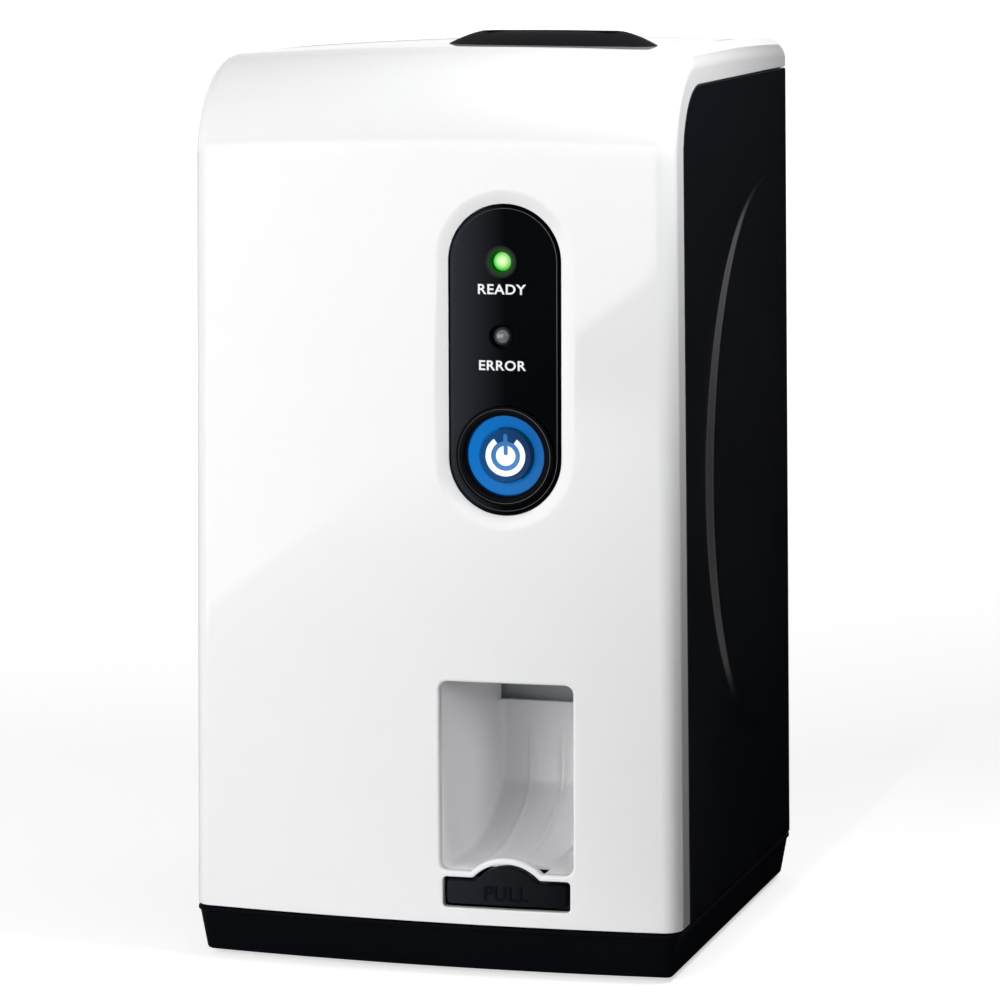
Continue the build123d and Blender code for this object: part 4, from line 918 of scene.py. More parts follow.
@dataclass
class CoverShell:
    """The white cover: one moulding that runs up the front, over the top and a little down the sides.

    Its first parameter is X on the face, then an angle round the corner, then a depth down the
    side. The second is height up the front, an angle over the front top edge, then depth back.
    """

    wall: float = 2.5
    rim: float = 0.35
    turn_y: float = -40.43
    turn_z: float = 237.3
    turn_span: float = 50.0
    reach: float = 33.0
    plain_end: float = 60.0
    corner_start: float = 70.0
    corner_end: float = 80.0
    side_end: float = 90.0
    panel_radius: float = 20.0
    reveal: float = 0.15
    least_strip: float = 0.9
    back_y: float = 77.2
    flare_width: float = 4.2
    flare_depth: float = 1.05
    ridge_x: float = 65.0
    ridge_width: float = 5.0
    ridge_height: float = 0.85
    neck: Pair = (42.2, 10.2)
    slot: Pair = (23.2, -24.0)
    pill_rim: float = 0.25
    window_rim: float = 0.9
    pull_rim: float = 0.5
    slot_rim: float = 0.3
    slot_radius: float = 0.5
    column_gap: float = 2.4
    blend_columns: int = 6
    corner_columns: int = 13
    face_rows: int = 76
    turn_rows: int = 31
    top_rows: int = 40
    back_gap: float = 3.2
    back_rows: tuple[float, ...] = (2.4, 1.7, 1.1, 0.6, 0.25, 0.0)
    flare_rows: tuple[float, ...] = (0.5, 1.2, 2.0, 2.8, 3.6, 4.3)

    @property
    def low_z(self) -> float:
        """Where the first parameter row lies, above the rounded bottom rim."""
        return FORM.seam_z + self.rim

    def point(self, uv: Array) -> Array:
        """The cover's outer surface: rays from a bent spine, slid onto the housing's form.

        Args:
            uv: Parameters, one row a point.

        Returns:
            The points.
        """
        u, v = uv.T
        side = np.where(u < 0, -1.0, 1.0)
        a = np.abs(u)
        rise = self.turn_z - self.low_z
        angle = np.clip((v - rise) / self.turn_span, 0, 1) * (math.pi / 2)
        out = np.stack([0 * u, -np.cos(angle), np.sin(angle)], axis=1)
        spine = np.stack([
            0 * u, self.turn_y + np.maximum(v - rise - self.turn_span, 0),
            np.minimum(self.low_z + v, self.turn_z),
        ], axis=1)
        limit = FORM.half_width(spine[:, 2] + self.reach * out[:, 2]) - FORM.edge_radius
        share = np.clip((a - self.plain_end) / (self.corner_start - self.plain_end), 0, 1)
        x = side * (np.minimum(a, self.plain_end) + share * (limit - self.plain_end))
        start = spine + self.reach * out
        start[:, 0] = x
        face = FORM.settle(start, out)
        edge = self.panel_radius + self.reveal + self.rim
        depth = np.sum((face - spine) * out, axis=1) - FORM.edge_radius
        depth = np.maximum(depth, edge + self.least_strip)
        share = np.clip((a - self.corner_end) / (self.side_end - self.corner_end), 0, 1)
        depth += share * (edge - depth)
        turn = np.clip((a - self.corner_start) / (self.corner_end - self.corner_start), 0, 1)
        turn *= math.pi / 2
        way = np.cos(turn)[:, None] * out
        way[:, 0] = side * np.sin(turn)
        start = spine + depth[:, None] * out
        start[:, 0] = x
        p = FORM.settle(start, way)
        gap = LAYOUT.pill_distance(p[:, 0], p[:, 2])
        sink = np.clip(1 - gap / self.flare_width, 0, 1)
        p[:, 1] += np.where(v < rise, self.flare_depth * sink**1.5, 0.0)
        back = np.clip((p[:, 1] - self.turn_y) / (2 * self.turn_span), 0, 1)
        swell = np.exp(-(((p[:, 0] - self.ridge_x) / self.ridge_width) ** 2))
        p[:, 2] += self.ridge_height * back * back * (3 - 2 * back) * swell * (v > rise)
        return p

    def build(self) -> None:
        """Makes the cover with its window, pull opening, pill and slot."""
        rise = self.turn_z - self.low_z
        bend = rise + self.turn_span
        end = bend + self.back_y - self.turn_y
        half = np.concatenate([
            np.arange(0.0, self.plain_end, self.column_gap),
            np.linspace(self.plain_end, self.corner_start, self.blend_columns)[:-1],
            np.linspace(self.corner_start, self.corner_end, self.corner_columns)[:-1],
            np.linspace(self.corner_end, self.side_end, self.blend_columns),
        ])
        columns = np.concatenate([-half[:0:-1], half])
        rows = np.concatenate([
            np.linspace(0, rise, self.face_rows)[:-1], np.linspace(rise, bend, self.turn_rows)[:-1],
            np.linspace(bend, end - self.back_gap, self.top_rows), end - np.array(self.back_rows),
        ])
        outline = np.concatenate([
            pairs(columns, 0.0)[:-1], pairs(self.side_end, rows)[:-1],
            pairs(columns, end)[:0:-1], pairs(-self.side_end, rows)[:0:-1],
        ])
        down = np.array([0.0, self.low_z])
        x, y = self.slot[0], bend - self.turn_y + self.slot[1]
        half_x, half_y = self.neck[0] / 2, self.neck[1] / 2
        neck = rounded_box(x - half_x, x + half_x, y - half_y, y + half_y, self.slot_radius, 3)
        rims = (self.rim, self.pill_rim, self.window_rim, self.pull_rim, self.slot_rim)
        holes = [
            LAYOUT.pill(self.pill_rim) - down, LAYOUT.window(self.window_rim) - down,
            LAYOUT.pull(self.pull_rim) - down, spaced(neck, 2.0),
        ]
        flare = [LAYOUT.pill(self.pill_rim + gap) - down for gap in self.flare_rows]
        fill = np.concatenate([lattice(columns[1:-1], rows[1:-1]), *flare])
        sheet = Sheet(self.point, outline, holes, fill, self.wall, rims, clearance=0.45)
        sheet.skin().build("cover_shell", WHITE_GLOSS, Body.HOUSING, ["front_cover"], "gloss_white")


@dataclass
class SidePanels:
    """The two black side panels, flush with the cover, each with its raised crescent."""

    wall: float = 2.5
    rim: float = 0.35
    front_y: float = -60.43
    top_z: float = 257.3
    corner_radius: float = 20.0
    crescent_radius: float = 86.0
    crescent_rise: float = 1.3
    crescent_bevel: float = 4.4
    crescent_round: float = 0.12
    crescent_y: float = 49.5
    crescent_z: float = 139.5
    edge_gap: float = 2.2
    fill_gap: Pair = (2.4, 2.6)
    first_row: float = 1.1
    ring_margin: Pair = (2.0, 1.2)
    ring_gap: float = 0.9
    ring_span: Pair = (72.0, 288.0)
    ring_points: int = 190
    ring_count: int = 13
    bend_gap: float = 2.4

    @property
    def bend(self) -> float:
        """Where the side starts to turn towards the back."""
        return FORM.depth / 2 - FORM.rear_radius

    def point(self, uv: Array) -> Array:
        """The right panel: the housing's side, raised by the crescent, turning at the rear edge.

        The crescent is the lower of a ramp along Y and a cone's slope, each blend rounded off.

        Args:
            uv: Y and Z, one row a point.

        Returns:
            The points.
        """
        y, z = uv.T
        turn = np.clip((y - self.bend) / FORM.rear_radius, 0, 1) * (math.pi / 2)
        way = np.stack([np.cos(turn), np.sin(turn), 0 * y], axis=1)
        start = np.stack([FORM.half_width(z) - FORM.rear_radius, np.minimum(y, self.bend), z], axis=1)
        p = FORM.settle(start, way)
        dy, dz = self.crescent_y - y, z - self.crescent_z
        ramp = self.crescent_rise * dy / self.crescent_radius
        step = self.crescent_rise * (self.crescent_radius - np.hypot(dy, dz)) / self.crescent_bevel
        k = self.crescent_round
        low = (ramp + step - np.sqrt((ramp - step) ** 2 + k * k)) / 2
        p[:, 0] += (low + np.sqrt(low * low + k * k / 4)) / 2
        return p

    def build(self) -> None:
        """Makes the right panel and its mirror image on the left."""
        r, bend, gap = self.rim, self.bend, self.edge_gap
        low, high = FORM.seam_z + r, self.top_z - r
        front, back = self.front_y + r, FORM.depth / 2 - r
        radius = self.corner_radius - r
        rear = np.linspace(bend, back, 8)
        across = np.arange(front + radius, bend, gap)
        outline = np.concatenate([
            spaced(np.array([[front, low], [bend, low]]), gap)[:int((bend - front) / gap)],
            pairs(rear, low),
            spaced(np.array([[back, low], [back, high]]), gap)[1:int((high - low) / gap)],
            pairs(rear[::-1], high),
            pairs(across[::-1], high)[:-1],
            arc((front + radius, high - radius), radius, 90, 180, 15),
            spaced(np.array([[front, high - radius], [front, low]]), gap)[1:int((high - radius - low) / gap)],
        ])
        columns = np.concatenate([np.arange(front + self.fill_gap[0] / 2, bend, self.fill_gap[0]), rear[:-1]])
        fill = lattice(columns, np.arange(low + self.first_row, high, self.fill_gap[1]))
        middle = (self.crescent_y, self.crescent_z)
        away = np.hypot(*(fill - middle).T)
        inner = self.crescent_radius - self.crescent_bevel - self.ring_margin[0]
        outer = self.crescent_radius + self.ring_margin[1]
        past = bend - self.bend_gap
        fill = fill[(away < inner - self.ring_gap) | (away > outer + self.ring_gap) | (fill[:, 0] > past + 0.8)]
        rings = np.concatenate([arc(middle, radius, *self.ring_span, self.ring_points)
                                for radius in np.linspace(inner, outer, self.ring_count)])
        fill = np.concatenate([fill, rings[rings[:, 0] < past]])
        right = Sheet(self.point, outline, [], fill, self.wall, (r,)).skin()
        for side, skin in (("right", right), ("left", right.mirrored())):
            skin.build(f"panel_{side}", BLACK_GLOSS, Body.HOUSING, [f"side_panel_{side}"], "gloss_black")


@dataclass
class BaseTub:
    """The black tub under the housing: it narrows towards the ground and has a lip at the seam."""

    wall: float = 2.5
    foot: float = 1.5
    taper: float = 2.6
    edge: float = 1.5
    lip: float = 1.1
    seam_gap: float = 0.5
    neck: float = 3.0
    least_radius: float = 0.8
    lip_outline: tuple[Pair, ...] = ((0.75, -0.45), (0.35, -0.2), (0.15, 0.0))
    rim_outline: tuple[Pair, ...] = ((0.15, -0.35), (0.25, -0.1), (0.5, 0.0))

    def loop(self, inset: float, z: float) -> Array:
        """The housing's plan at the seam, moved inwards: bow, corners, sides and back.

        Args:
            inset: How far inwards.
            z: Its height.

        Returns:
            The closed loop, anticlockwise from above.
        """
        half, back = FORM.seam_half_width - inset, FORM.depth / 2 - inset
        front = max(FORM.edge_radius - inset, self.least_radius)
        rear = max(FORM.rear_radius - inset, self.least_radius)
        radius = FORM.bow_radius - inset
        centre_y = FORM.front_y + FORM.bow_radius
        reach = half - front
        corner_y = centre_y - math.sqrt((radius - front) ** 2 - reach**2)
        lean = math.degrees(math.atan2(reach, centre_y - corner_y))
        plan = np.concatenate([
            arc((0, centre_y), radius, -90 - lean, -90 + lean, 61),
            arc((reach, corner_y), front, -90 + lean, 0, 9)[1:],
            arc((half - rear, back - rear), rear, 0, 90, 7),
            arc((rear - half, back - rear), rear, 90, 180, 7),
            arc((-reach, corner_y), front, 180, 270 - lean, 9)[:-1],
        ])
        return np.column_stack([plan, np.full(len(plan), z)])

    def build(self) -> None:
        """Makes the tub: loops carried up outside, over the lip and neck, and down inside."""
        rim = FORM.seam_z - self.seam_gap
        steps = [(self.taper + self.edge * (1 - math.sin(turn)), self.foot + self.edge * (1 - math.cos(turn)))
                 for turn in np.radians(np.linspace(0, 90, 7))]
        steps += [(inset, rim - self.lip + up) for inset, up in self.lip_outline]
        steps += [(inset, rim + up) for inset, up in self.rim_outline]
        outer, inner, top = self.wall + 0.1, 2 * self.wall, rim + self.neck + self.seam_gap
        steps += [(outer, rim), (outer, top), (inner, top), (inner, self.foot + self.wall)]
        skin = Skin()
        index = skin.add_grid(np.stack([self.loop(inset, z) for inset, z in steps]), wrap=True)
        skin.cap(index[0], flip=True)
        skin.cap(index[-1])
        skin.build("base_tub", BASE_BLACK, Body.HOUSING, ["base_tray"], "matte_black")


@dataclass
class SlotCollar:
    """The black collar round the slot on top: a low leaf-shaped mound with a funnel in it."""

    x: float = 23.2
    y: float = -24.0
    length: float = 62.4
    depth: float = 34.0
    end_radius: float = 11.0
    rise: float = 3.6
    slope: float = 9.5
    slot: Pair = (36.0, 5.0)
    slot_radius: float = 1.0
    funnel_spread: float = 1.6
    funnel_depth: float = 2.4
    funnel_lip: tuple[Pair, ...] = ((0.0, 0.25), (0.1, 0.07), (0.35, 0.0))
    crest: tuple[Pair, ...] = ((0.5, 0.0), (-0.5, 0.22))
    slope_shares: tuple[float, ...] = (0.8, 0.6, 0.4, 0.2, 0.06, 0.0)
    slope_power: float = 1.35
    slope_drop: float = 0.3
    foot_lift: float = 0.12
    foot_sink: float = 0.4
    step_down: float = 1.0
    neck: Pair = (42.0, 10.0)
    neck_radius: float = 0.5
    bottom: float = 259.25
    count: int = 144

    def ring(self, half_x: float, half_y: float, radius: float, z: Array | float) -> Array:
        """A rounded rectangle about the collar's middle, at height z, as a ring of evenly spread points."""
        loop = resampled(rounded_box(-half_x, half_x, -half_y, half_y, radius), self.count)
        return np.column_stack([loop + (self.x, self.y), np.broadcast_to(z, len(loop))])

    def leaf(self, shrink: float) -> Array:
        """The leaf's outline: a small arc at either end and a long one on either side, all tangent.

        Args:
            shrink: How far in from the collar's edge.

        Returns:
            The closed loop, anticlockwise from +X.
        """
        a, b, r = self.length / 2, self.depth / 2, self.end_radius
        reach = a - r
        long_radius = (reach**2 + b**2 - r**2) / (2 * (b - r))
        lean = math.degrees(math.atan2(long_radius - b, reach))
        end, side = r - shrink, long_radius - shrink
        return np.concatenate([
            arc((reach, 0), end, 0, lean, 40)[:-1],
            arc((0, b - long_radius), side, lean, 180 - lean, 240)[:-1],
            arc((-reach, 0), end, 180 - lean, 180 + lean, 80)[:-1],
            arc((0, long_radius - b), side, 180 + lean, 360 - lean, 240)[:-1],
            arc((reach, 0), end, 360 - lean, 360, 40)[:-1],
        ])

    def oval(self, shrink: float, sink: float) -> Array:
        """The leaf outline as a ring that follows the crown of the cover.

        Args:
            shrink: How far in from the collar's edge.
            sink: Its depth below the cover's surface.

        Returns:
            The ring.
        """
        loop = resampled(self.leaf(shrink), self.count)
        start = np.column_stack([loop + (self.x, self.y), np.full(self.count, FORM.crown_z)])
        up = np.zeros_like(start)
        up[:, 2] = 1.0
        ring = FORM.settle(start, up)
        ring[:, 2] -= sink
        return ring

    def build(self) -> None:
        """Makes the collar as rings: up the slot, out over the top, down the slope and back under."""
        top = FORM.crown_z + self.rise
        sx, sy = self.slot[0] / 2, self.slot[1] / 2
        wide = self.funnel_spread
        rings = [self.ring(sx, sy, self.slot_radius, z) for z in (self.bottom, top - self.funnel_depth)]
        for out, down in self.funnel_lip:
            rings.append(self.ring(sx + wide + out, sy + wide + out, self.slot_radius + wide, top - down))
        for inward, down in self.crest:
            rings.append(self.oval(self.slope + inward, 0.0))
            rings[-1][:, 2] = top - down
        for share in self.slope_shares:
            oval = self.oval(self.slope * share, 0.0)
            climb = 1 - (1 - share) ** self.slope_power
            oval[:, 2] += self.foot_lift + (top - self.slope_drop - oval[:, 2]) * climb
            rings.append(oval)
        under = rings[-1][:, 2].min() - self.step_down
        rings.append(self.oval(0.0, self.foot_sink))
        for z in (under, self.bottom):
            rings.append(self.ring(self.neck[0] / 2, self.neck[1] / 2, self.neck_radius, z))
        skin = Skin()
        skin.add_grid(np.stack(rings), wrap=True, closed=True, flip=True)
        skin.build("top_collar", COLLAR_BLACK, Body.HOUSING, ["slot_collar"], "matte_black", sharp=40.0)


@dataclass
class ControlPanel:
    """The black pill in the front with its two lights, the start button and its lettering."""

    recess: float = 1.2
    thickness: float = 2.5
    reveal: float = 0.15
    edge: float = 0.9
    # The painted highlight line round the pill: its inset from the edge and its width.
    highlight_inset: float = 1.15
    highlight_width: float = 0.16
    bezel_radius: float = 14.4
    led_x: float = 21.9
    led_radius: float = 3.5
    # The next radius is the reach of the painted green glow round the ready light.
    halo_radius: float = 4.6
    lens_radius: float = 2.75
    ready_z: float = 208.3
    error_z: float = 186.9
    well_radius: float = 11.6
    ring_outer: float = 11.5
    ring_inner: float = 8.1
    cap_radius: float = 7.8
    cap_dish: float = 0.7
    bezel_rise: float = 1.0
    well_depth: float = 3.1
    cap_proud: float = 2.0
    bezel_back: float = 4.0
    bezel_round: Pair = (0.5, 1.1)
    # The painted highlight line on the bezel: its inset, and how far its band stands out and sinks in.
    line_inset: float = 0.75
    line_proud: float = 0.04
    line_sunk: float = 0.3
    stem_radius: float = 1.5
    stem_length: float = 2.6
    cap_height: float = 2.2
    inlay_proud: float = 0.06
    inlay_sunk: float = 0.19
    dome_depth: float = 2.0
    dome_sunk: float = 0.3
    lens_flange: Pair = (0.5, 1.2)
    halo_sunk: float = 0.1
    halo_proud: float = 0.03
    well_ends: Pair = (0.7, 0.9)
    print_lift: float = 0.06
    word_middles: tuple[Pair, Pair] = ((22.25, 200.5), (22.35, 178.7))
    word_sizes: tuple[Pair, Pair] = ((14.1, 2.9), (13.8, 2.9))
    board_y: float = -65.6
    bezel_rim: float = 0.2
    light_rim: float = 0.3
    fill_x: tuple[float, float, float] = (7.0, 40.0, 1.8)
    fill_z: tuple[float, float, float] = (137.0, 225.0, 2.0)
    stroke_half: float = 0.55
    stroke_ends: Pair = (0.2, 6.3)

    @property
    def face_y(self) -> float:
        """Where the pill's surface lies at its middle line."""
        return float(FORM.front_at(LAYOUT.pill_x, self.recess))

    @property
    def bezel_y(self) -> float:
        """Where the bezel's front edge lies."""
        return self.face_y - self.bezel_rise

    def point(self, uv: Array) -> Array:
        """The pill's surface at rows of X and Z: the bowed front moved back."""
        return FORM.behind_front(uv, self.recess)

    def plate(self) -> None:
        """Makes the pill with its three round holes, and the painted highlight line along its edge."""
        rims = (self.edge, self.bezel_rim, self.light_rim, self.light_rim)
        outline = LAYOUT.pill(-self.reveal - self.edge)
        holes = [circle((LAYOUT.pill_x, LAYOUT.button_z), self.bezel_radius + self.bezel_rim)]
        holes += [circle((self.led_x, z), self.led_radius + self.light_rim, 48)
                  for z in (self.ready_z, self.error_z)]
        fill = lattice(np.arange(*self.fill_x), np.arange(*self.fill_z))
        sheet = Sheet(self.point, outline, holes, fill, self.thickness, rims, clearance=0.5)
        sheet.skin().build("pill_panel", BLACK_FASCIA_PAINTED_SHEEN, Body.HOUSING, ["control_fascia"], "gloss_black")
        # Painted highlight: a thin grey band round the pill's edge.
        outer, inner = (resampled(LAYOUT.pill(-inset), 240)
                        for inset in (self.highlight_inset, self.highlight_inset + self.highlight_width))
        section = self.line_section(outer, inner)
        self.band(section).build("pill_lip", PAINTED_HIGHLIGHT_GREY, Body.HOUSING, slot="gloss_black")

    def line_section(self, outer: Array | float, inner: Array | float) -> list[tuple[Array | float, float]]:
        """The section of a painted highlight line: out, up, across and down, each with its depth under the
        surface.
        """
        sunk, proud = self.line_sunk, -self.line_proud
        return [(outer, sunk), (outer, proud), (inner, proud), (inner, sunk)]

    def band(self, loops: Sequence[tuple[Array, float]]) -> Skin:
        """A closed band on the pill's bowed surface.

        Args:
            loops: The loops of its section, outer first, each with its depth under the surface.

        Returns:
            The skin.
        """
        skin = Skin()
        grid = np.stack([self.point(loop) + (0.0, depth, 0.0) for loop, depth in loops])
        skin.add_grid(grid, wrap=True, closed=True)
        return skin

    def button(self) -> None:
        """Makes the bezel with its painted highlight line, the lit ring and the dished cap, which glows with
        painted light, as turned profiles.
        """
        x, z = LAYOUT.pill_x, LAYOUT.button_z
        front, back = self.bezel_y, self.face_y + self.bezel_back
        r, w = self.bezel_radius, self.well_radius
        outside, inside_round = self.bezel_round
        edge = arc((r - outside, front + outside), outside, 0, -90, 6)
        lip = arc((w + inside_round, front + inside_round), inside_round, -90, -160, 9)
        bezel = np.concatenate([[[r, back]], edge, lip, [[w, front + 2 * inside_round], [w, back]]])
        lathe_y(bezel, x, z, 128).build(
            "button_surround", BEZEL_BLACK, Body.HOUSING, ["button_bezel"], "gloss_black", 40.0)
        # Painted highlight: a thin grey band round the bezel's face.
        line = self.line_section(r - self.line_inset, r - self.line_inset - self.highlight_width)
        lathe_y(np.array(line) + (0.0, front), x, z, 128).build(
            "bezel_lip", PAINTED_HIGHLIGHT_GREY, Body.HOUSING, slot="gloss_black")
        floor = front + self.well_depth
        outer, inner = self.ring_outer, self.ring_inner
        glow = np.array([
            [outer, self.board_y], [outer, floor - 0.25], [outer - 0.25, floor - 0.3], [outer - 1.0, floor - 0.05],
            [inner + 0.7, floor], [inner, floor + 0.25], [inner, self.board_y],
        ])
        lathe_y(glow, x, z, 128).build(
            "lit_ring", BLUE_RING, Body.HOUSING, ["button_light_ring"], "blue_lens", 50.0)
        top, rim, stem = floor - self.cap_proud, self.cap_radius, self.stem_radius
        cap = np.array([
            [stem, self.board_y - self.stem_length], [stem, top + self.cap_height], [rim, top + self.cap_height],
            [rim, top + 0.3], [rim - 0.08, top + 0.1], [rim - 0.3, top],
        ])
        radii = np.linspace(rim - 0.5, 0.4, 12)
        profile = np.concatenate([cap, pairs(radii, self.dish_y(radii))])
        # The cap glows with painted light, brighter on the left.
        lathe_y(profile, x, z, 96, closed=False).build(
            "start_cap", CAP_BLUE_PAINTED_GLOW, Body.BUTTON, ["start_button"], "matte_black", 50.0)

    def dish_y(self, r: Array) -> Array:
        """The Y of the cap's dished face at distances r from the axis: a shallow parabola."""
        share = np.asarray(r) / (self.cap_radius - 0.3)
        return self.bezel_y + self.well_depth - self.cap_proud + self.cap_dish * (1 - share**2)

    def inlay(self, name: str, finish: Finish, r0: float, r1: float, start: float, end: float) -> None:
        """A flat ring sector laid in the cap's dish.

        Args:
            name: The piece's name.
            finish: Its surface finish.
            r0: Inner radius.
            r1: Outer radius.
            start: First angle in degrees, from +X anticlockwise.
            end: Last angle in degrees.
        """
        radii = np.linspace(r0, r1, 6)
        raised = pairs(radii, self.dish_y(radii) - self.inlay_proud)
        sunk = raised[::-1] + (0.0, self.inlay_proud + self.inlay_sunk)
        full = end - start >= 360.0
        angle = np.radians(np.linspace(start, end, 97))[:96 if full else 97]
        grid = turned_y(np.concatenate([raised, sunk]), LAYOUT.pill_x, LAYOUT.button_z, angle)
        skin = Skin()
        index = skin.add_grid(grid, wrap=full, closed=True, flip=True)
        if not full:
            skin.cap(index[:, 0])
            skin.cap(index[:, -1], flip=True)
        skin.build(name, finish, Body.BUTTON, sharp=50.0)

    def symbol(self) -> None:
        """Makes the power sign on the cap: an open white ring, a blue ring, a white middle and a blue stroke."""
        self.inlay("sign_outer_arc", SIGN_WHITE, 4.3, 5.9, 125.0, 415.0)
        self.inlay("sign_blue_arc", PRINT_BLUE, 2.95, 4.2, 0.0, 360.0)
        self.inlay("sign_middle", SIGN_WHITE, 0.05, 2.9, 0.0, 360.0)
        x, z = LAYOUT.pill_x, LAYOUT.button_z
        low, high = self.stroke_ends
        bar = rounded_box(x - self.stroke_half, x + self.stroke_half, z + low, z + high, 0.5, 5)
        sheet = Sheet(self.bar_point, resampled(bar, 60), [], np.zeros((0, 2)), 0.3, (0.05,))
        sheet.skin().build("sign_stroke", PRINT_BLUE, Body.BUTTON, sharp=50.0)

    def bar_point(self, uv: Array) -> Array:
        """The stroke's surface at rows of X and Z, a hair above the dish.

        Args:
            uv: One row a point.

        Returns:
            The points.
        """
        x, z = uv.T
        r = np.hypot(x - LAYOUT.pill_x, z - LAYOUT.button_z)
        return np.stack([x, self.dish_y(r) - 0.1, z], axis=1)

    def lights(self) -> None:
        """Makes the two domed lenses, and the green glow painted on the well about the green one."""
        r, dome_y = self.lens_radius, self.face_y + self.dome_sunk + self.dome_depth
        wide, front = r + self.lens_flange[0], self.board_y - self.lens_flange[1]
        profile = np.concatenate([
            [[wide, self.board_y], [wide, front], [r, front]],
            arc((0.0, 0.0), 1.0, 0, -84, 12) * (r, self.dome_depth) + (0.0, dome_y),
        ])
        for name, z, finish, slot in (
            ("ready", self.ready_z, GREEN_LENS, "green_lens"), ("error", self.error_z, DARK_LENS, "dark_lens"),
        ):
            lathe_y(profile, self.led_x, z, 64, closed=False).build(
                f"{name}_lens", finish, Body.HOUSING, [f"led_{name}"], slot, 50.0)
        # Painted light: the green glow that spills from the ready lens onto its well.
        outer, inner, well = (circle((self.led_x, self.ready_z), radius, 64)
                              for radius in (self.halo_radius, self.led_radius - 0.1, r + 0.05))
        section = [(outer, self.halo_sunk), (outer, -self.halo_proud), (inner, -self.halo_proud)]
        section += [(well, depth) for depth in self.well_ends]
        self.band(section).build("ready_halo", GREEN_PAINTED_SPILL, Body.HOUSING, slot="green_lens")

    def words(self) -> None:
        """Prints the two state words under their lights."""
        for word, middle, size in zip(("READY", "ERROR"), self.word_middles, self.word_sizes):
            lettering(word, middle, size, self.print_lift, self.recess, PRINT_WHITE, Body.HOUSING)

    def build(self) -> None:
        """Makes the whole panel."""
        self.plate()
        self.button()
        self.symbol()
        self.lights()
        self.words()


def lettering(text: str, centre: Pair, size: Pair, lift: float, inset: float, finish: Finish,
              body: Body) -> None:
    """Raised letters in the plain built-in face, wrapped onto a surface behind the bowed front.

    Args:
        text: The letters; the piece is named after them.
        centre: Their middle, X and Z.
        size: Their width and height over all.
        lift: How far they stand out.
        inset: How far the surface lies behind the front.
        finish: Their finish.
        body: The body that they ride on.
    """
    name = "word_" + text.lower()
    curve = bpy.data.curves.new(name + "_outline", "FONT")
    curve.body = text
    curve.resolution_u = 4
    curve.offset = LETTER_WEIGHT
    curve.space_character = LETTER_SPACING
    curve.extrude = 0.5
    holder = bpy.data.objects.new(name + "_outline", curve)
    bpy.context.scene.collection.objects.link(holder)
    bpy.context.view_layer.update()
    mesh = bpy.data.meshes.new_from_object(holder)
    bpy.data.objects.remove(holder)
    bpy.data.curves.remove(curve)
    co = np.zeros(len(mesh.vertices) * 3)
    mesh.vertices.foreach_get("co", co)
    co = co.reshape(-1, 3)
    low, high = co.min(axis=0), co.max(axis=0)
    share = (co - low) / (high - low)
    x = centre[0] + (share[:, 0] - 0.5) * size[0]
    z = centre[1] + (share[:, 1] - 0.5) * size[1]
    y = FORM.front_at(x, inset) + LETTER_ROOT - share[:, 2] * (lift + LETTER_ROOT)
    mesh.vertices.foreach_set("co", (np.stack([x, y, z], axis=1) * MM).ravel())
    mesh.name = name
    mesh.update()
    dress_piece(mesh, name, finish, body)


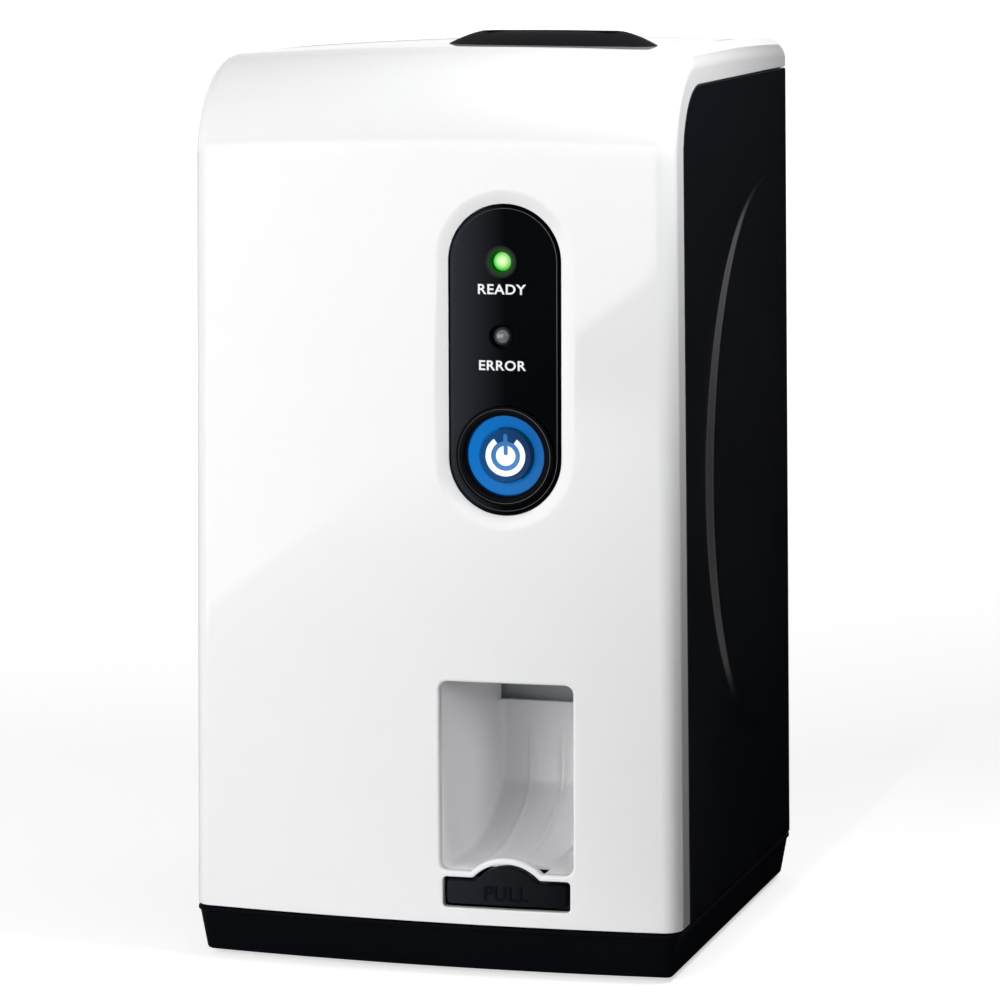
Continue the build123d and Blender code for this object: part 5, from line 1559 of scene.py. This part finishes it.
@dataclass
class PickupPocket:
    """The white pocket: a floor that curves up into a chute, three thin ribs and two side walls."""

    x0: float = 3.4
    x1: float = 43.0
    wall: float = 1.5
    skin_depth: float = 1.3
    front_y: float = -75.0
    back_y: float = -13.5
    floor_z: float = 31.0
    bend: float = 60.0
    climb: float = math.radians(38.0)
    corner: float = 5.0
    scoop_z: float = 70.2
    top_z: float = 88.7
    fillet: float = 2.2
    rib_pitch: float = 10.0
    rib_half: float = 0.45
    rib_height: float = 0.6
    notch_half: float = 10.8
    notch_depth: float = 12.2
    notch_radius: float = 3.0
    rib_columns: tuple[float, ...] = (-0.9, -0.45, -0.3, 0.0, 0.3, 0.45, 0.9)
    rib_starts: float = 1.0
    rib_ends: float = 6.0
    rib_slopes: Pair = (6.0, 10.0)
    rib_steep: float = 1.6
    rows: int = 80
    side_gap: float = 1.5
    column_gap: float = 1.7
    rib_clear: Pair = (2.3, 1.5)
    edge_rim: float = 0.02

    @property
    def middle(self) -> float:
        """The pocket's middle line."""
        return (self.x0 + self.x1) / 2

    @property
    def flat(self) -> float:
        """Length of the flat floor."""
        sine = math.sin(self.climb)
        return self.back_y - self.corner * (1 - sine) - self.bend * sine - self.front_y

    @property
    def rise(self) -> float:
        """Height that the two curves climb."""
        cosine = math.cos(self.climb)
        return self.bend * (1 - cosine) + self.corner * cosine

    @property
    def length(self) -> float:
        """Length of the whole chute line."""
        curves = self.bend * self.climb + self.corner * (math.pi / 2 - self.climb)
        return self.flat + curves + self.scoop_z - self.floor_z - self.rise

    def line(self, s: Array) -> tuple[Array, Array]:
        """The chute's side view: a floor, a wide curve, a tight curve and an upright back.

        Args:
            s: Distances along it from the front.

        Returns:
            Its points (Y, Z) and its directions into the pocket (Y, Z).
        """
        wide = np.clip((s - self.flat) / self.bend, 0, self.climb)
        past = s - self.flat - self.bend * self.climb
        angle = wide + np.clip(past / self.corner, 0, math.pi / 2 - self.climb)
        up = np.maximum(past - self.corner * (math.pi / 2 - self.climb), 0)
        y = np.minimum(s, self.flat) + self.front_y + self.bend * np.sin(wide)
        y += self.corner * (np.sin(angle) - np.sin(wide))
        z = self.floor_z + self.bend * (1 - np.cos(wide)) + self.corner * (np.cos(wide) - np.cos(angle)) + up
        return np.stack([y, z], axis=1), np.stack([-np.sin(angle), np.cos(angle)], axis=1)

    def point(self, uv: Array) -> Array:
        """The chute's surface: its line carried along X, raised at the ribs and the walls.

        Args:
            uv: X and the distance along the line.

        Returns:
            The points.
        """
        x, s = uv.T
        p, way = self.line(s)
        off = np.abs((x - self.middle + self.rib_pitch / 2) % self.rib_pitch - self.rib_pitch / 2)
        off = np.where(np.abs(x - self.middle) < 1.5 * self.rib_pitch, off, self.rib_pitch)
        rib = self.rib_height * np.clip(self.rib_steep * (1 - off / (2 * self.rib_half)), 0, 1)
        rib *= np.clip((s - self.notch_depth - self.rib_starts) / self.rib_slopes[0], 0, 1)
        rib *= np.clip((self.length - self.rib_ends - s) / self.rib_slopes[1], 0, 1)
        near = np.minimum(x - self.x0, self.x1 - x)
        inner = np.clip(self.fillet - near, 0, self.fillet)
        curl = self.fillet - np.sqrt(np.maximum(self.fillet**2 - inner**2, 0))
        lift = np.maximum(rib, curl)
        return np.column_stack([x, p + lift[:, None] * way])

    def build(self) -> None:
        """Makes the chute and the two side walls."""
        middle, pitch = self.middle, self.rib_pitch
        nx0, nx1 = middle - self.notch_half, middle + self.notch_half
        r, d = self.notch_radius, self.notch_depth
        lows = np.linspace(self.x0, self.x0 + self.fillet, 8)
        across = np.concatenate([lows[:-1], np.arange(self.x0 + self.fillet, nx0, self.side_gap)])
        right = 2 * middle - across[::-1]
        ribs = np.concatenate([middle + k * pitch + np.array(self.rib_columns) for k in (-1, 0, 1)])
        stops = (nx0 - 1, middle - pitch, middle, middle + pitch, nx1 + 1)
        gaps = np.concatenate([np.arange(a + self.rib_clear[0], b - self.rib_clear[1], self.column_gap)
                               for a, b in zip(stops, stops[1:])])
        columns = np.sort(np.concatenate([across[1:], gaps, ribs, right[:-1]]))
        rows = np.linspace(0, self.length, self.rows)
        top = np.unique(np.round(np.concatenate([across, gaps, ribs, right]), 4))[::-1]
        outline = np.concatenate([
            pairs(across, 0.0), [[nx0, 0.0]],
            arc((nx0 + r, d - r), r, 180, 90, 7), arc((nx1 - r, d - r), r, 90, 0, 7), [[nx1, 0.0]],
            pairs(right, 0.0)[:-1], pairs(self.x1, rows)[:-1], pairs(top, self.length)[:-1],
            pairs(self.x0, rows)[:0:-1],
        ])
        fill = lattice(columns, rows[1:-1])
        sheet = Sheet(self.point, outline, [], fill, self.skin_depth, (self.edge_rim,), clearance=0.25)
        sheet.skin().build("pickup_chute", WHITE_SATIN, Body.HOUSING, ["chute_liner"], "liner_white")
        self.side_wall("pocket_wall_left", self.x0, -1.0)
        self.side_wall("pocket_wall_right", self.x1, 1.0)

    def side_wall(self, name: str, x: float, side: float) -> None:
        """A flat wall between the chute line and the pocket's top.

        Args:
            name: The piece's name.
            x: Its inner face.
            side: Which way it thickens.
        """
        line, way = self.line(np.linspace(0, self.length, self.rows))
        under = line - self.skin_depth * way
        loop = np.concatenate([under, [[under[-1, 0], self.top_z], [self.front_y, self.top_z]]])
        skin = Skin()
        grid = np.stack([np.insert(loop, 0, face, axis=1) for face in (x, x + side * self.wall)])
        index = skin.add_grid(grid, wrap=True, flip=side < 0)
        skin.cap(index[0], flip=side > 0)
        skin.cap(index[1], flip=side < 0)
        skin.build(name, WHITE_SATIN, Body.HOUSING, slot="liner_white")


@dataclass
class PullHandle:
    """The black handle that draws the drawer out, with a rounded edge and raised letters."""

    gap: float = 1.0
    recess: float = 0.4
    thickness: float = 4.0
    rim: float = 0.8
    word_middle: Pair = (23.0, 24.9)
    word_size: Pair = (13.0, 4.3)
    word_lift: float = 0.35
    fill_x: tuple[float, float, float] = (6.0, 41.0, 1.5)
    fill_z: tuple[float, float, float] = (20.0, 34.0, 1.2)

    def point(self, uv: Array) -> Array:
        """The handle's face at rows of X and Z, which follows the bowed front."""
        return FORM.behind_front(uv, self.recess)

    def build(self) -> None:
        """Makes the handle and the word on it."""
        outline = LAYOUT.pull(-self.gap - self.rim)
        fill = lattice(np.arange(*self.fill_x), np.arange(*self.fill_z))
        sheet = Sheet(self.point, outline, [], fill, self.thickness, (self.rim,), clearance=0.5)
        sheet.skin().build("pull_handle", HANDLE_BLACK_PAINTED_SHADE, Body.DRAWER, ["drawer_handle"], "matte_black")
        lettering("PULL", self.word_middle, self.word_size, self.word_lift, self.recess, BLACK_SATIN, Body.DRAWER)


@dataclass
class FrameDress:
    """Gives every CAD node that stays in view its procedural finish."""

    finishes: dict[Finish, tuple[str, ...]] = field(default_factory=lambda: {
        BLACK_GRAIN: ("rear_cover",), FELT: ("light_seals",), HOOD_GREY: ("exit_hood",),
        BLACK_SATIN: ("power_switch", "power_rocker"), SCREW: ("frame_screws", "case_screws"),
        RUBBER: ("rubber_feet", "upper_drive_tyres", "lower_drive_tyres", "timing_belt"),
        GROUND: ("button_spring", "pinch_springs", "upper_drive_shaft", "lower_drive_shaft", "motor_shaft",
                 "mirror_shaft"),
        STEEL: ("transport_plate_left", "transport_plate_right", "plate_guide_front", "plate_guide_rear",
                "usb_socket"),
        ALUMINIUM: ("motor_pulley", "optics_deck", "laser_clamp", "detector_shelf"),
        BRONZE: ("roller_bushes", "laser_module"), BOARD: ("control_board", "eraser_board", "main_board"),
        MIRROR: ("scan_mirror",), ACRYLIC: ("light_guide",),
    })

    def build(self) -> None:
        """Sets the materials; a node that isn't listed gets the plain inner moulding."""
        listed = {name: finish for finish, names in self.finishes.items() for name in names}
        for name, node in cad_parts.items():
            finish = listed.get(name, BLACK_PLAIN)
            node.data.materials.clear()
            node.data.materials.append(finish.material())
            log.info("node %s: %s", name, finish.name)


@dataclass(frozen=True)
class Card:
    """A flat card out of the picture: black where its strength is 0, otherwise glowing.

    Its back glows as the surround does, so that the floor under it stays as it is. Either gloss
    mirrors it and it leaves the light on matt surfaces alone, or the other way round.
    """

    name: str
    corners: Sequence[Place]
    strength: float = 0.0
    gloss: bool = True


@dataclass(frozen=True)
class Lamp:
    """A soft rectangular lamp, in metres and watts; lit names the only pieces that it lights."""

    name: str
    place: Place
    aim: Place
    side: float
    watts: float
    lit: tuple[str, ...] = ()


def flat(z: float, *plan: Pair) -> list[Place]:
    """The corners of a level card at height z, from its plan."""
    return [(x, y, z) for x, y in plan]


def upright(start: Pair, end: Pair, lows: Pair, high: float) -> list[Place]:
    """The corners of a standing card, from its two ends in plan and the height of its edges there."""
    return [(*start, lows[0]), (*end, lows[1]), (*end, high), (*start, high)]


@dataclass
class Studio:
    """Floor, cards, lamps, world and camera."""

    eye: Place = (378.73, -1318.49, 320.93)
    forward: Place = (-0.27365, 0.95179, -0.13859)
    right: Place = (0.96106, 0.27632, 0.0)
    up: Place = (-0.0383, 0.1332, 0.9904)
    roll: float = -0.188
    focal_px: float = 4561.0
    picture_px: float = 1000.0
    sensor: float = 36.0
    view_end: float = 100.0
    floor_half: float = 30.0
    floor_tone: float = 0.8
    glow_near: Pair = (0.3, 0.6)
    glow_far: Pair = (1.6, 1.0)
    surround: float = 0.3
    mirrored_share: float = 0.35
    card_tone: float = 0.003
    card_z: float = 0.001
    sheen: float = 2.4
    streak: float = 0.7
    box_left: Pair = (-0.62, -0.47)
    box_right: Pair = (0.06, -0.58)
    box_lows: Pair = (-0.08, 0.165)
    box_steps: tuple[float, ...] = (0.33, 0.345, 0.36, 0.38, 0.4)
    box_fade: float = 0.2
    lamps: tuple[Lamp, ...] = (
        Lamp("front_left_box", (-0.5, -1.28, 0.45), (0.0, 0.0, 0.14), 0.8, 13.7),
        Lamp("right_top_box", (0.21, -0.067, 0.37), (0.07, -0.067, 0.2), 0.12, 0.6),
        Lamp("pocket_box", (0.33, -0.45, 0.26), (0.02, -0.05, 0.05), 0.2, 1.0,
             ("pickup_chute", "pocket_wall_left", "pocket_wall_right", "exit_hood")),
    )

    def camera(self) -> None:
        """Places the camera that the photograph was taken from."""
        data = bpy.data.cameras.new("photo_camera")
        data.sensor_width = self.sensor
        data.lens = self.focal_px * self.sensor / self.picture_px
        data.clip_end = self.view_end
        turn = math.radians(self.roll)
        right = math.cos(turn) * Vector(self.right) + math.sin(turn) * Vector(self.up)
        up = -math.sin(turn) * Vector(self.right) + math.cos(turn) * Vector(self.up)
        spin = Matrix((right, up, -Vector(self.forward))).transposed()
        camera = bpy.data.objects.new("photo_camera", data)
        camera.matrix_world = Matrix.Translation(Vector(self.eye) * MM) @ spin.to_4x4()
        bpy.context.scene.collection.objects.link(camera)
        bpy.context.scene.camera = camera

    def board(self, name: str, corners: Sequence[Place], mat: bpy.types.Material) -> bpy.types.Object:
        """A flat four-cornered piece of the studio.

        Args:
            name: Its name.
            corners: Its corners in order, in metres.
            mat: Its material.

        Returns:
            The object.
        """
        mesh = bpy.data.meshes.new(name)
        mesh.from_pydata(list(corners), [], [(0, 1, 2, 3)])
        mesh.materials.append(mat)
        piece = bpy.data.objects.new(name, mesh)
        bpy.context.scene.collection.objects.link(piece)
        return piece

    @staticmethod
    def seen_share(wiring: Wiring, mirrored: float = 1.0) -> Socket:
        """Which rays see the white background: those of the camera, of gloss and of clear parts.

        Args:
            wiring: The nodes of what glows.
            mirrored: How much of it the rays of gloss and clear parts see.

        Returns:
            A socket that is 1 for the camera's rays.
        """
        share = wiring.add("LightPath", "Is Camera Ray", {})
        rays = share.node.outputs
        for kind in ("Is Glossy Ray", "Is Transmission Ray"):
            part = wiring.add("Math", 0, {0: rays[kind], 1: mirrored}, operation="MULTIPLY")
            share = wiring.add("Math", 0, {0: share, 1: part}, operation="MAXIMUM")
        return share

    def floor(self) -> None:
        """A wide pale floor that shows white and keeps a soft shadow.

        It glows a little for the rays that see the background, and more so with the distance,
        where the lamps no longer reach.
        """
        mat = bpy.data.materials.new("pale_floor")
        wiring = Wiring(mat)
        away = wiring.add("VectorMath", "Value", {0: wiring.place()}, operation="LENGTH")
        glow = wiring.add("MapRange", "Result", {
            "Value": away, "From Min": self.glow_near[0], "From Max": self.glow_far[0],
            "To Min": self.glow_near[1], "To Max": self.glow_far[1],
        })
        seen = self.seen_share(wiring, self.mirrored_share)
        wiring.feed(wiring.nodes["Principled BSDF"], {
            "Base Color": (*[self.floor_tone] * 3, 1.0), "Roughness": 0.9, "Specular IOR Level": 0.0,
            "Emission Color": WHITE_LIGHT,
            "Emission Strength": wiring.add("Math", 0, {0: seen, 1: glow}, operation="MULTIPLY"),
        })
        half = self.floor_half
        self.board("studio_floor", flat(0, (-half, -half), (half, -half), (half, half), (-half, half)), mat)

    def card(self, card: Card) -> None:
        """Hangs a card, unseen by the camera and without a shadow.

        Args:
            card: Its place and looks.
        """
        mat = bpy.data.materials.new(card.name + "_face")
        wiring = Wiring(mat)
        side = wiring.add("NewGeometry", "Backfacing", {})
        ends = {"To Min": card.strength, "To Max": max(card.strength, self.surround)}
        wiring.feed(wiring.nodes["Principled BSDF"], {
            "Base Color": (*[self.card_tone] * 3, 1.0), "Specular IOR Level": 0.0, "Emission Color": WHITE_LIGHT,
            "Emission Strength": wiring.add("MapRange", "Result", {"Value": side, **ends}),
        })
        piece = self.board(card.name, card.corners, mat)
        piece.visible_camera = False
        piece.visible_shadow = False
        piece.visible_glossy = card.gloss
        piece.visible_diffuse = not card.gloss

    def cards(self) -> list[Card]:
        """The cards: black ones by the dark side, bright ones that the white front mirrors.

        Returns:
            All of them, in the order in which they are hung.
        """
        z, left, right = self.card_z, self.box_left, self.box_right
        steps = list(zip(self.box_steps, self.box_steps[1:]))
        return [
            Card("dark_wedge", flat(z, (0.066, -0.1), (3.8, 8.0), (0.3, 8.0), (0.066, 0.1))),
            Card("dark_wall", upright((0.3, 7.9), (3.8, 7.9), (0.0, 0.0), 2.4)),
            Card("dark_strip", flat(z, (0.0785, -0.4), (0.6, -0.4), (0.6, 0.35), (0.0785, 0.35)), gloss=False),
            Card("dark_wing", upright((0.24, 0.15), (0.24, -0.6), (0.0, 0.0), 0.3), gloss=False),
            Card("slanted_box", upright(left, right, self.box_lows, self.box_steps[0]), self.sheen),
            *(Card(f"soft_edge_{step}", upright(left, right, (low, low), high),
                   self.sheen * (1 - self.box_fade * (step + 1))) for step, (low, high) in enumerate(steps)),
            Card("overhead_strip", [(-1.1, -0.42, 1.55), (0.9, -0.42, 1.55), (0.9, -0.62, 1.48),
                                    (-1.1, -0.62, 1.48)], self.streak),
        ]

    def lamp(self, lamp: Lamp) -> None:
        """Sets up a lamp, turned towards its aim and unseen by gloss.

        Args:
            lamp: Its place and power.
        """
        data = bpy.data.lights.new(lamp.name, "AREA")
        data.shape = "RECTANGLE"
        data.size = data.size_y = lamp.side
        data.energy = lamp.watts
        holder = bpy.data.objects.new(lamp.name, data)
        turn = (Vector(lamp.aim) - Vector(lamp.place)).to_track_quat("-Z", "Y").to_matrix().to_4x4()
        holder.matrix_world = Matrix.Translation(Vector(lamp.place)) @ turn
        holder.visible_glossy = False
        bpy.context.scene.collection.objects.link(holder)
        if lamp.lit:
            group = bpy.data.collections.new(lamp.name + "_lit")
            for piece in lamp.lit:
                group.objects.link(bpy.data.objects[piece])
            holder.light_linking.receiver_collection = group

    def world(self) -> None:
        """An even pale surround."""
        world = bpy.data.worlds.new("pale_surround")
        wiring = Wiring(world)
        ends = {"To Min": self.surround, "To Max": 1.0}
        wiring.feed(wiring.nodes["Background"], {
            "Color": WHITE_LIGHT,
            "Strength": wiring.add("MapRange", "Result", {"Value": self.seen_share(wiring), **ends}),
        })
        bpy.context.scene.world = world

    def build(self) -> None:
        """Sets up the whole studio."""
        bpy.context.scene.view_settings.view_transform = "Standard"
        self.camera()
        self.floor()
        self.world()
        for card in self.cards():
            self.card(card)
        for lamp in self.lamps:
            self.lamp(lamp)
        log.info("studio ready")


def main() -> None:
    """Builds every sub-assembly in order and notes the sizes before and after."""
    logging.basicConfig(level=logging.INFO, format="%(name)s %(message)s")
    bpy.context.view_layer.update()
    for assembly in (
        FrameDress(), BaseTub(), CoverShell(), SidePanels(), SlotCollar(), ControlPanel(),
        PickupPocket(), PullHandle(), Studio(),
    ):
        assembly.build()


if __name__ == "__main__":
    main()
